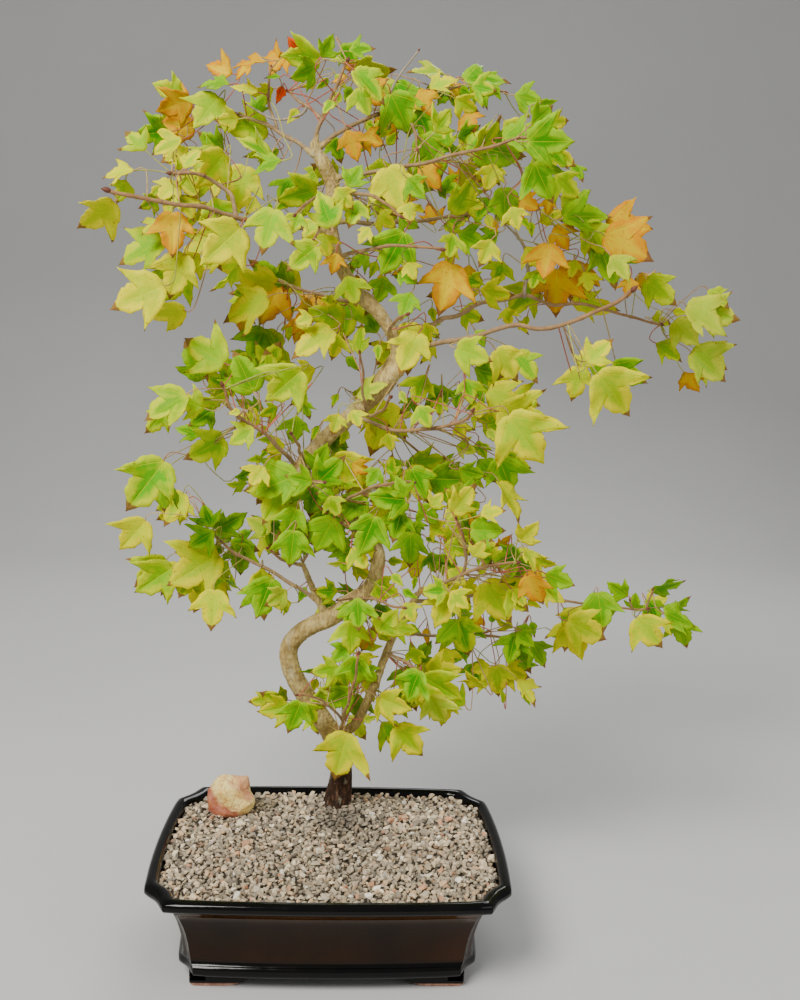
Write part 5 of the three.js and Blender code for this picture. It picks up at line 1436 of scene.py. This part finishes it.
# Heights between which the dark bark of the foot gives way to the pale bark.
DARK_BARK_ENDS = (0.112, 0.172)
PALE_BARK = [(0.3, srgb(180, 154, 86)), (0.5, srgb(222, 196, 122)), (0.7, srgb(242, 222, 150))]
DARK_BARK = [(0.3, srgb(26, 15, 9)), (0.55, srgb(62, 38, 22)), (0.75, srgb(112, 76, 50))]
BARK_STREAK = srgb(140, 112, 80)
BARK_FLECK = srgb(138, 110, 62)
BARK_LICHEN = srgb(186, 178, 152)
BARK_CRACK = srgb(92, 66, 44)
BARK_PORE = srgb(222, 206, 168)


def bark_look():
    """Dark flaking bark at the foot, and pale tan bark with flecks, lichen and faint cracks above it."""
    look = Look("bark", Roughness=0.75, Specular_IOR_Level=0.3)
    grain = look.noise(420.0, 4.0, (1, 1, 0.35))
    blotch = look.noise(75.0, 3.0)
    streak = look.noise(160.0, 3.0, (1, 1, 0.15))
    upper = look.ramp(blotch, PALE_BARK)
    upper = look.mix(look.times(streak, 0.6), upper, BARK_STREAK, "MULTIPLY")
    foot = look.ramp(grain, DARK_BARK)
    wobble = look.times(look.less(look.noise(60.0, 2.0), 0.5), 0.9)
    mask = look.add(height_mask(look, *DARK_BARK_ENDS), wobble)
    mask = look.ramp(mask, [(0.35, 0.0), (0.7, 1.0)])
    flecks = look.ramp(grain, [(0.38, 0.6), (0.58, 0.0)])
    upper = look.mix(flecks, upper, BARK_FLECK)
    colour = look.mix(mask, foot, upper)
    lichen = look.ramp(look.noise(140.0, 3.0, (1, 1, 0.6)), [(0.6, 0.0), (0.68, 0.4)])
    colour = look.mix(lichen, colour, BARK_LICHEN)
    cracks = look.ramp(look.cells(260.0, "DISTANCE_TO_EDGE", (1, 1, 0.42)), [(0.0, 0.75), (0.09, 0.0)])
    colour = look.mix(look.times(cracks, 0.18), colour, BARK_CRACK)
    pores = look.ramp(look.cells(330.0, "F1", (0.5, 0.5, 1.6)), [(0.0, 0.7), (0.16, 0.0)])
    colour = look.mix(look.times(pores, 0.6), colour, BARK_PORE)
    look.colour(colour)
    look.rough(grain, 0.5, 0.9)
    relief = look.less(look.add(grain, look.times(streak, 0.8)), look.times(cracks, 0.35))
    look.bump(relief, 0.0008)
    return look.material


make_trunk()

# Pot: the outline and profile of the solid, drawn finer, with a soft lip and a shallow panel line.
RIM_HALF = (147.2, 111.2)
CORNER_CUT = (23, 33)
CORNER_DIP = 2.4
CORNER_SOFTENING = 0.3
SIDE_BOW = 4
# Rings from the underside up and over the lip: height, inset from the rim, share of the corner that is cut.
POT_OUTSIDE = [
    (12.7, 28, 0.6), (13.1, 26.4, 0.6), (14.2, 25.4, 0.6), (15.8, 25, 0.6), (17.8, 24.8, 0.6),
    (19.4, 25, 0.6), (20.8, 25.7, 0.57), (21.8, 27, 0.5), (22.8, 28.3, 0.4), (24.5, 29.1, 0.34),
    (28, 29.5, 0.3), (40, 28.4, 0.28), (48, 26.9, 0.28), (56, 25, 0.28), (62, 22.9, 0.29), (67.3, 20.7, 0.3),
    (68, 20.1, 0.3), (68.5, 19.3, 0.3), (71, 17.6, 0.33), (75, 14.8, 0.4), (77, 12.8, 0.46),
    (78, 10, 0.56), (78.6, 7, 0.66), (79.6, 4.2, 0.74), (81, 1.8, 0.78), (82.8, 0.4, 0.8), (84.6, 0, 0.8),
    (86.6, 0.35, 0.8), (88.3, 1.4, 0.8), (89.5, 3.2, 0.8), (90, 5, 0.8), (89.9, 6.6, 0.8),
]
INSIDE_CORNER = 0.8
POT_INSIDE = [
    (89.3, 8, INSIDE_CORNER), (88, 9.3, INSIDE_CORNER), (86, 10.1, INSIDE_CORNER),
    (83.5, 10.7, INSIDE_CORNER), (80, 11.4, INSIDE_CORNER), (66, 26, INSIDE_CORNER),
    (46, 34, INSIDE_CORNER), (20.5, 40, INSIDE_CORNER),
]
POT_FLOOR = (20.5, 12.7)
STRAIGHT_STEPS = 10
CORNER_STEPS = 14
FOOT_CORNER = (112, 78)
FOOT_LENGTHS = (54, 42)
FOOT_THICKNESS = 15
FOOT_TOP = 14.5
FOOT_ROUND = 5
FOOT_TOE = 11
FOOT_BEVEL = 1.6
FOOT_ROUND_STEPS = 6
FOOT_TOE_STEPS = 10
# A leg's toe: where it starts and ends along the leg, and how far it bulges, as shares of the length.
TOE_START = 0.5
TOE_BULGE = 0.64
BEVEL_SEGMENTS = 3
BEVEL_PROFILE = 0.6
CORNER_FADE = 0.1
DRAIN_X = 62
DRAIN_RADIUS = 9
DRAIN_SIDES = 40
DRILL_SPARE = 6
SHARP_ANGLE = 40
# Heights in metres where the glaze turns: wall to band, band to lip, wall to flange, glaze to bare clay.
BAND_STARTS = (0.062, 0.071)
LIP_STARTS = (0.0735, 0.0765)
FLANGE_ENDS = (0.0275, 0.0235)
CLAY_ENDS = (0.0031, 0.0019)
GLAZE_BLACK = [(0.3, srgb(4, 4, 5)), (0.7, srgb(11, 10, 9))]
# The wall's brown is dark glaze with a painted reflection of a brown wooden board.
WALL_PAINTED_REFLECTION = [(0.3, srgb(28, 13, 1)), (0.55, srgb(42, 21, 3)), (0.75, srgb(58, 31, 6))]
GLAZE_BAND = [(0.3, srgb(54, 32, 14)), (0.7, srgb(86, 56, 26))]
GLAZE_SPECK = srgb(150, 140, 124)
BARE_CLAY = [(0.3, srgb(150, 104, 84)), (0.7, srgb(196, 150, 128))]


def pot_outline(inset, corner):
    """The pot's outline at an inset from its rim: bowed sides and dipped corners with soft ends."""
    hx = RIM_HALF[0] - inset
    hy = RIM_HALF[1] - inset
    cx = CORNER_CUT[0] * corner
    cy = CORNER_CUT[1] * corner
    dip = CORNER_DIP * corner
    quarter = []
    for k in range(STRAIGHT_STEPS):
        t = k / STRAIGHT_STEPS
        quarter.append((hx + SIDE_BOW * (1 - t * t), (hy - cy) * t))
    for k in range(CORNER_STEPS + 1):
        t = k / CORNER_STEPS
        softened = math.exp(-(t / CORNER_FADE) ** 2) + math.exp(-((1 - t) / CORNER_FADE) ** 2)
        inward = dip * math.sin(math.pi * t) + CORNER_SOFTENING * dip * softened
        quarter.append((hx - cx * t - inward, hy - cy * (1 - t) - inward))
    for k in range(1, STRAIGHT_STEPS):
        t = 1 - k / STRAIGHT_STEPS
        quarter.append(((hx - cx) * t, hy + SIDE_BOW * (1 - t * t)))
    quarter.append((0, hy + SIDE_BOW))
    upper_left = [(-x, y) for x, y in quarter[-2::-1]]
    lower_left = [(-x, -y) for x, y in quarter[1:]]
    lower_right = [(x, -y) for x, y in quarter[-2:0:-1]]
    return quarter + upper_left + lower_left + lower_right


def foot_leg(length):
    """The side view of one leg of a foot, as (along, height) points."""
    points = [(0, FOOT_TOP)]
    for k in range(FOOT_ROUND_STEPS + 1):
        angle = math.pi / 2 * k / FOOT_ROUND_STEPS
        points.append((FOOT_ROUND * (1 - math.cos(angle)), FOOT_ROUND * (1 - math.sin(angle))))
    for k in range(FOOT_TOE_STEPS + 1):
        t = k / FOOT_TOE_STEPS
        along = TOE_START + TOE_BULGE * t * (1 - t) + (1 - TOE_START) * t * t
        points.append((length * along, FOOT_TOE * t * t))
    points.append((length, FOOT_TOP))
    return points


def bevelled_slab(outline, lows, highs, soft, place):
    """A slab between two faces, its edges rounded by a bevel and its corners placed by a function."""
    made = bmesh.new()
    front = [made.verts.new(place(a, b, lows)) for a, b in outline]
    back = [made.verts.new(place(a, b, highs)) for a, b in outline]
    made.faces.new(front[::-1])
    made.faces.new(back)
    for k in range(len(outline)):
        following = (k + 1) % len(outline)
        made.faces.new((front[k], front[following], back[following], back[k]))
    bmesh.ops.recalc_face_normals(made, faces=made.faces)
    rims = [e for e in made.edges if len(e.link_faces) == 2 and any(len(f.verts) > 4 for f in e.link_faces)]
    shape = {"segments": BEVEL_SEGMENTS, "profile": BEVEL_PROFILE, "affect": "EDGES"}
    bmesh.ops.bevel(made, geom=rims, offset=soft, **shape)
    return made


def make_feet(target):
    """Four corner feet of two legs each, added to a mesh."""
    for side_x in (-1, 1):
        for side_y in (-1, 1):
            def front(a, z, depth):
                x = -FOOT_CORNER[0] + a
                y = -FOOT_CORNER[1] + depth
                return to_frame((-side_x * x, -side_y * y, z))

            def flank(a, z, depth):
                x = -FOOT_CORNER[0] + depth
                y = -FOOT_CORNER[1] + a
                return to_frame((-side_x * x, -side_y * y, z))

            for place, length in ((front, FOOT_LENGTHS[0]), (flank, FOOT_LENGTHS[1])):
                leg = bevelled_slab(foot_leg(length), 0, FOOT_THICKNESS, FOOT_BEVEL * MM, place)
                mesh = bpy.data.meshes.new("leg")
                leg.to_mesh(mesh)
                leg.free()
                target.from_mesh(mesh)
                bpy.data.meshes.remove(mesh)


def make_pot():
    """The glazed body with its two drain holes and four feet."""
    rings = []
    for z, inset, corner in POT_OUTSIDE + POT_INSIDE:
        rings.append([(x, y, z) for x, y in pot_outline(inset, corner)])
    n = len(rings[0])
    points = [p for ring in rings for p in ring]
    faces = bands(len(rings), n)
    last = (len(rings) - 1) * n
    faces.append(tuple(last + k for k in range(n)))
    faces.append(tuple(range(n))[::-1])
    body = new_object("pot_body", to_frame(points), faces, [])
    for side in (-1, 1):
        drill = new_object("drill", *drain_drill(side), [], smooth=False)
        cut = body.modifiers.new("drain", "BOOLEAN")
        cut.operation = "DIFFERENCE"
        cut.solver = "EXACT"
        cut.object = drill
        apply_modifiers(body)
        bpy.data.objects.remove(drill)
    made = bmesh.new()
    made.from_mesh(body.data)
    make_feet(made)
    made.to_mesh(body.data)
    made.free()
    body.data.materials.append(glaze_look())
    body.data.polygons.foreach_set("use_smooth", [True] * len(body.data.polygons))
    body.data.set_sharp_from_angle(angle=math.radians(SHARP_ANGLE))
    body.name = "pot_glazed"
    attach(body, "root")
    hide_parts("pot")


def drain_drill(side):
    """The points and faces of a cylinder through the floor on one side."""
    points = []
    for z in (POT_FLOOR[1] - DRILL_SPARE, POT_FLOOR[0] + DRILL_SPARE):
        for k in range(DRAIN_SIDES):
            angle = 2 * math.pi * k / DRAIN_SIDES
            x = side * DRAIN_X + DRAIN_RADIUS * math.cos(angle)
            points.append((x, DRAIN_RADIUS * math.sin(angle), z))
    ends = [tuple(range(DRAIN_SIDES))[::-1], tuple(range(DRAIN_SIDES, 2 * DRAIN_SIDES))]
    return to_frame(points), ends + bands(2, DRAIN_SIDES)


def glaze_look():
    """Black glass on the lip, flange and feet, dark glaze on the wall tinted brown as a painted reflection
    of a wooden board, bare clay below.
    """
    look = Look("glaze", Roughness=0.08, Specular_IOR_Level=0.24)
    black = look.ramp(look.noise(35.0), GLAZE_BLACK)
    cloud = look.noise(16.0, 4.0, (1, 1, 0.5))
    # Painted reflection: the wall's dark glaze is tinted brown like a wooden board that it mirrors.
    wall_reflection = look.ramp(cloud, WALL_PAINTED_REFLECTION)
    band = look.ramp(cloud, GLAZE_BAND)
    colour = look.mix(height_mask(look, *BAND_STARTS), wall_reflection, band)
    colour = look.mix(height_mask(look, *LIP_STARTS), colour, black)
    colour = look.mix(height_mask(look, *FLANGE_ENDS), colour, black)
    specks = look.ramp(look.cells(240.0), [(0.0, 0.5), (0.035, 0.0)])
    specks = look.times(specks, look.ramp(look.noise(30.0), [(0.5, 0.0), (0.62, 1.0)]))
    colour = look.mix(specks, colour, GLAZE_SPECK)
    clay = look.ramp(look.noise(300.0), BARE_CLAY)
    bare = height_mask(look, *CLAY_ENDS)
    look.colour(look.mix(bare, colour, clay))
    smears = look.times(look.noise(70.0, 4.0), 0.2)
    dull = look.add(smears, look.times(bare, 0.8))
    look.rough(dull, 0.02, 0.75)
    look.bump(look.noise(55.0, 2.0), 0.00035, 0.5)
    return look.material


make_pot()

# Grit: angular grains over the solid's own upper face, on a darker bed whose colour is painted shade in the
# gaps between them.
GRAIN_FORMS = 26
GRAIN_PITCH = 4.2
GRAIN_SIZES = (2.0, 3.7)
BIG_GRAIN = 4.8
BIG_GRAIN_SHARE = 0.05
GRAIN_SEED = 77
GRAIN_CORNERS = 11
GRAIN_STRETCH = np.array([1.0, 0.78, 0.62])
GRAIN_ROUGHNESS = (0.85, 1.05)
GRAIN_TILT = 0.5
GRAIN_SCATTER = 0.55
GRAIN_BRIGHTNESS = (0.6, 1.8)
# Lower-layer grains are darkened by this share: painted shade in the gaps between the upper grains.
DEEP_GRAIN_PAINTED_SHADE = 0.6
UPPER_GRAINS_MISSING = 0.3
GRAIN_HEIGHTS = (0.1, 0.75)
GRAIN_SINK = 0.5
ABOVE_GRIT = 130
LEAST_UPWARD = 0.3
# Soft patches on the grit: the middle of each, how far it fades in x and y, and its strength.
WET_MIDDLE = (11, 48)
WET_HALF = (24, 34)
DAMP_MIDDLE = (30, 0)
DAMP_HALF = (30, 40)
MOSS_MIDDLE = (-62, 78)
MOSS_HALF = (16, 14)
WET_STRENGTH = 1.2
WET_SPREAD = (0.5, 1.1)
DAMP_STRENGTH = 0.3
MOSS_STRENGTH = 0.8
MOST_WET = 0.8
WET_TINT = 0.6
WET_TONE = srgb(52, 34, 22)
MOSS_TONE = srgb(104, 92, 52)
# The bed's upper face is sunk among the grains, in metres.
BED_ABOVE = 0.078
BED_DROP = 0.0016
GRIT_COLOURS = [
    (0.26, srgb(190, 170, 138)), (0.46, srgb(200, 182, 152)), (0.62, srgb(162, 146, 124)),
    (0.74, srgb(218, 202, 174)), (0.83, srgb(126, 114, 98)), (0.91, srgb(204, 168, 128)),
    (0.95, srgb(230, 222, 208)), (0.98, srgb(186, 128, 90)), (1.0, srgb(92, 84, 76)),
]


def grain_forms(draws):
    """A few angular pebbles: hulls of random points on a squashed ball."""
    forms = []
    for _ in range(GRAIN_FORMS):
        made = bmesh.new()
        for _ in range(GRAIN_CORNERS):
            way = draws.normal(size=3)
            way *= GRAIN_STRETCH / np.linalg.norm(way)
            made.verts.new(way * draws.uniform(*GRAIN_ROUGHNESS))
        bmesh.ops.convex_hull(made, input=made.verts)
        loose = [v for v in made.verts if not v.link_faces]
        bmesh.ops.delete(made, geom=loose, context="VERTS")
        made.verts.ensure_lookup_table()
        made.verts.index_update()
        points = np.array([v.co for v in made.verts])
        forms.append((points, [tuple(v.index for v in face.verts) for face in made.faces]))
        made.free()
    return forms


def turned(points, draws):
    """Points turned at random, mostly about the upright axis."""
    spin = draws.uniform(0, 2 * math.pi)
    tilt = draws.normal(0, GRAIN_TILT)
    roll = draws.normal(0, GRAIN_TILT)
    leant = Matrix.Rotation(tilt, 3, "X") @ Matrix.Rotation(roll, 3, "Y")
    return points @ np.array(Matrix.Rotation(spin, 3, "Z") @ leant).T


def patch(x, y, middle, half):
    """How strong a soft patch of the grit is at a place."""
    return math.exp(-((x - middle[0]) / half[0]) ** 2 - ((y - middle[1]) / half[1]) ** 2)


def grain_colour(draws, x, y, deep):
    """A grain's own colour, darker where it is wet, darkened as painted shade where it lies deep among the
    upper grains, and greenish where moss grows.
    """
    pick = draws.uniform()
    colour = next(colour for share, colour in GRIT_COLOURS if pick <= share)
    # A grain of the lower layer is darkened here as painted shade between the upper grains.
    colour = np.array(colour) * draws.uniform(*GRAIN_BRIGHTNESS) * (DEEP_GRAIN_PAINTED_SHADE if deep else 1.0)
    wet = WET_STRENGTH * patch(x, y, WET_MIDDLE, WET_HALF) * draws.uniform(*WET_SPREAD)
    damp = DAMP_STRENGTH * patch(x, y, DAMP_MIDDLE, DAMP_HALF) * draws.uniform(0, 1)
    moss = MOSS_STRENGTH * patch(x, y, MOSS_MIDDLE, MOSS_HALF)
    tint = np.array(WET_TONE) * WET_TINT * min(MOST_WET, wet)
    colour = colour * (1 - min(MOST_WET, wet + damp)) + tint
    return colour * (1 - moss) + np.array(MOSS_TONE) * moss


def make_grit():
    """Two layers of grains on the solid's upper face, the lower one darkened as painted shade, and the solid
    itself as a sunken bed, coloured dark as painted shade in the gaps.
    """
    draws = np.random.default_rng(GRAIN_SEED)
    forms = grain_forms(draws)
    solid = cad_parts["grit"]
    down = Vector((0, 0, -1))
    points = []
    faces = []
    colours = []
    for layer in range(2):
        for gx in np.arange(-RIM_HALF[0], RIM_HALF[0], GRAIN_PITCH):
            for gy in np.arange(-RIM_HALF[1], RIM_HALF[1], GRAIN_PITCH):
                x = gx + draws.uniform(-GRAIN_SCATTER, GRAIN_SCATTER) * GRAIN_PITCH + layer * GRAIN_PITCH / 2
                y = gy + draws.uniform(-GRAIN_SCATTER, GRAIN_SCATTER) * GRAIN_PITCH + layer * GRAIN_PITCH / 2
                size = draws.uniform(*GRAIN_SIZES)
                if draws.uniform() < BIG_GRAIN_SHARE:
                    size = BIG_GRAIN
                if layer == 1 and draws.uniform() < UPPER_GRAINS_MISSING:
                    continue
                above = Vector(to_frame((x, y, ABOVE_GRIT)))
                hit, place, normal, _ = solid.ray_cast(above, down)
                if not hit or normal.z < LEAST_UPWARD:
                    continue
                height = place.z / MM + GRAIN_HEIGHTS[layer] * size
                middle = np.array([x, y, height - GRAIN_SINK * size])
                shape, sides = forms[int(draws.integers(len(forms)))]
                faces.extend(tuple(len(points) + k for k in side) for side in sides)
                points.extend(turned(shape, draws) * size + middle)
                colours.extend([grain_colour(draws, x, y, layer == 0)] * len(shape))
    grains = new_object("grit_grains", to_frame(points), faces, [grain_look()], smooth=False)
    add_colours(grains, "tone", colours)
    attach(grains, "root")
    # The sunken bed, dark as painted shade where it shows between the grains.
    bed = bpy.data.objects.new("grit_bed", solid.data.copy())
    bpy.context.scene.collection.objects.link(bed)
    bed.data.materials.clear()
    bed.data.materials.append(bed_painted_shade_look())
    for vertex in bed.data.vertices:
        if vertex.co.z > BED_ABOVE:
            vertex.co.z -= BED_DROP
    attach(bed, "root")
    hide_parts("grit")


def grain_look():
    look = Look("grain", Roughness=0.85, Specular_IOR_Level=0.25)
    fine = look.noise(1600.0, 4.0)
    veins = look.noise(380.0, 3.0, (1, 1, 2.5))
    colour = look.mix(fine, look.attribute("tone"), (0.78, 0.76, 0.72), "MULTIPLY")
    colour = look.mix(look.times(veins, 0.35), colour, srgb(226, 216, 196))
    look.colour(colour)
    look.rough(fine, 0.7, 0.95)
    look.bump(fine, 0.0003)
    return look.material


def crumb_look(name, roughness, least, scales, drop, tones):
    """Crumbs of two tones. The scales are those of the tones and of the bumps."""
    look = Look(name, Roughness=roughness)
    crumbs = look.noise(scales[0], 4.0)
    look.colour(look.ramp(crumbs, [(0.3, tones[0]), (0.7, tones[1])]))
    look.rough(crumbs, least, 1.0)
    look.bump(look.cells(scales[1]), drop)
    return look.material


# The bed's dark crumbs are painted shade, seen in the gaps between the grains.
def bed_painted_shade_look():
    return crumb_look("bed", 0.9, 0.8, (900.0, 420.0), 0.001, (srgb(40, 33, 26), srgb(76, 66, 53)))


make_grit()

# Stone: the solid's own lump, made finer and broken into facets and cracks.
STONE = np.array([-95, 61, 99.5])
STONE_HALF = np.array([20.5, 15, 18.5])
STONE_BOTTOM = 82.5
KNOB = np.array([0.62, 0.1, 0.78])
KNOB_SIZE = 0.34
KNOB_REACH = 0.33
STONE_SEED = 12
CHIPS = 26
CHIP_TOP = 1.06
CHIP_REACH = (0.86, 1.04)
STONE_FINENESS = 6
STONE_SURFACE = ((5, 0.03), (14, 0.014))
LEAST_FACING = 0.05
# The solid's own slow waves: their height, and their rates in two directions.
STONE_WAVES = (0.09, 3.1, 2.3)
STONE_CROSS_WAVES = (0.07, 4.3, -2.7)
STONE_CREAM = [(0.3, srgb(250, 204, 112)), (0.6, srgb(255, 234, 150))]
STONE_RED = [(0.3, srgb(164, 84, 62)), (0.7, srgb(214, 146, 116))]
STONE_VEIN = srgb(176, 104, 46)
STONE_KNOB = srgb(196, 120, 96)


def chipped_flats():
    """Planes that cut the lump, as an outward way and a distance."""
    draws = np.random.default_rng(STONE_SEED)
    ways = draws.normal(size=(CHIPS, 3))
    ways /= np.linalg.norm(ways, axis=1)[:, None]
    return np.column_stack([ways, draws.uniform(*CHIP_REACH, CHIPS)])


def make_stone():
    """The lump with its waves, knob, flat chips and a rough face."""
    flats = chipped_flats()
    made = bmesh.new()
    bmesh.ops.create_icosphere(made, subdivisions=STONE_FINENESS, radius=1)
    for vertex in made.verts:
        way = np.array(vertex.co)
        height, across, up = STONE_WAVES
        rough = 1 + height * math.sin(across * way[0] + up * way[2])
        height, across, up = STONE_CROSS_WAVES
        rough += height * math.cos(across * way[1] + up * way[2] + 1)
        knob = KNOB_SIZE * math.exp(-((way - KNOB) ** 2).sum() / KNOB_REACH ** 2)
        reach = flats[:, 3] / np.maximum(flats[:, :3] @ way, LEAST_FACING)
        chip = min(CHIP_TOP, reach.min())
        for rate, height in STONE_SURFACE:
            chip += height * noise.noise(Vector((way * rate).tolist()))
        place = way * STONE_HALF * (rough + knob) * chip + STONE
        place[2] = max(place[2], STONE_BOTTOM)
        vertex.co = to_frame(place)
    mesh = bpy.data.meshes.new("stone")
    made.to_mesh(mesh)
    made.free()
    mesh.materials.append(stone_look())
    mesh.polygons.foreach_set("use_smooth", [True] * len(mesh.polygons))
    piece = bpy.data.objects.new("stone_rough", mesh)
    bpy.context.scene.collection.objects.link(piece)
    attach(piece, "root")
    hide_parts("stone")


def stone_look():
    """Cream on the upper right and red on the lower left, with ochre veins."""
    look = Look("stone", Roughness=0.6, Specular_IOR_Level=0.35)
    cream = look.ramp(look.noise(90.0, 4.0), STONE_CREAM)
    red = look.ramp(look.noise(120.0, 4.0), STONE_RED)
    split = look.node("ShaderNodeSeparateXYZ")
    look.link(look.place, split.inputs[0])
    middle = to_frame(STONE)
    sideways = look.times(look.less(split.outputs[0], float(middle[0])), 22.0)
    slope = look.add(sideways, look.times(look.less(split.outputs[2], float(middle[2])), 26.0))
    slope = look.add(slope, look.times(look.noise(60.0, 3.0), 0.9))
    colour = look.mix(look.ramp(slope, [(0.22, 0.0), (0.5, 1.0)]), red, cream)
    veins = look.ramp(look.noise(55.0, 4.0, (1, 1, 1), 1.5), [(0.47, 0.0), (0.5, 0.8), (0.53, 0.0)])
    colour = look.mix(veins, colour, STONE_VEIN)
    knob = look.ramp(slope, [(0.9, 0.0), (1.0, 0.7)])
    colour = look.mix(knob, colour, STONE_KNOB)
    look.colour(colour)
    look.rough(look.noise(200.0), 0.45, 0.8)
    look.bump(look.noise(420.0, 4.0), 0.0006)
    return look.material


make_stone()


def soil_look():
    return crumb_look("soil", 0.95, 0.85, (500.0, 260.0), 0.0012, (srgb(40, 28, 20), srgb(86, 64, 46)))


def screen_look():
    look = Look("screen", Roughness=0.5)
    marks = look.noise(800.0, 3.0)
    look.colour(look.ramp(marks, [(0.3, srgb(20, 22, 22)), (0.7, srgb(40, 43, 42))]))
    look.rough(marks, 0.4, 0.65)
    look.bump(marks, 0.0001)
    return look.material


def dress(name, material):
    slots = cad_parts[name].data.materials
    slots.clear()
    slots.append(material)


dress("soil", soil_look())
screen_material = screen_look()
dress("drain_screen_left", screen_material)
dress("drain_screen_right", screen_material)

# Stage: a pale floor and soft lights.
FLOOR_HALF = 4.0
FLOOR_FRONT = -3.0
FLOOR_BACK = 1.6
SWEEP_RADIUS = 1.5
SWEEP_STEPS = 24
WALL_TOP = 4.0
LIGHT_AIM = (0, 0, 0.4)
# Each light's name, place, size, power and colour.
LIGHTS = [
    ("key", (-0.9, -1.3, 1.9), (0.9, 0.9), 66.0, (1.0, 0.98, 0.93)),
    ("fill", (1.6, -0.9, 1.1), (1.4, 1.4), 12.0, (0.96, 0.98, 1.0)),
    ("back", (0.4, 1.6, 1.8), (1.2, 0.8), 22.0, (1, 1, 1)),
]
WORLD_COLOUR = (0.9, 0.9, 0.88, 1)
WORLD_STRENGTH = 0.3


def floor_look():
    look = Look("floor", Roughness=0.9, Specular_IOR_Level=0.1)
    look.colour(look.ramp(look.noise(2.0), [(0.3, (0.56, 0.56, 0.56)), (0.7, (0.59, 0.59, 0.58))]))
    return look.material


def make_stage():
    """A floor that sweeps up into a wall behind the tree."""
    side_view = [(FLOOR_FRONT, 0)]
    for k in range(SWEEP_STEPS + 1):
        angle = math.pi / 2 * k / SWEEP_STEPS
        side_view.append((FLOOR_BACK + SWEEP_RADIUS * math.sin(angle), SWEEP_RADIUS * (1 - math.cos(angle))))
    side_view.append((FLOOR_BACK + SWEEP_RADIUS, WALL_TOP))
    points = [POT_MIDDLE + (x, y, z) for y, z in side_view for x in (-FLOOR_HALF, FLOOR_HALF)]
    faces = [(2 * k, 2 * k + 1, 2 * k + 3, 2 * k + 2) for k in range(len(side_view) - 1)]
    new_object("floor", points, faces, [floor_look()])


def area_light(name, place, size, power, colour):
    data = bpy.data.lights.new(name, "AREA")
    data.shape = "RECTANGLE"
    data.size, data.size_y = size
    data.energy = power
    data.color = colour
    light = bpy.data.objects.new(name, data)
    place = Vector(POT_MIDDLE + np.array(place))
    light.location = place
    way = Vector(POT_MIDDLE + np.array(LIGHT_AIM)) - place
    light.rotation_euler = way.to_track_quat("-Z", "Y").to_euler()
    bpy.context.scene.collection.objects.link(light)


make_stage()
for light in LIGHTS:
    area_light(*light)
world = bpy.data.worlds.new("studio")
bpy.context.scene.world = world
world.use_nodes = True
world.node_tree.nodes["Background"].inputs["Color"].default_value = WORLD_COLOUR
world.node_tree.nodes["Background"].inputs["Strength"].default_value = WORLD_STRENGTH
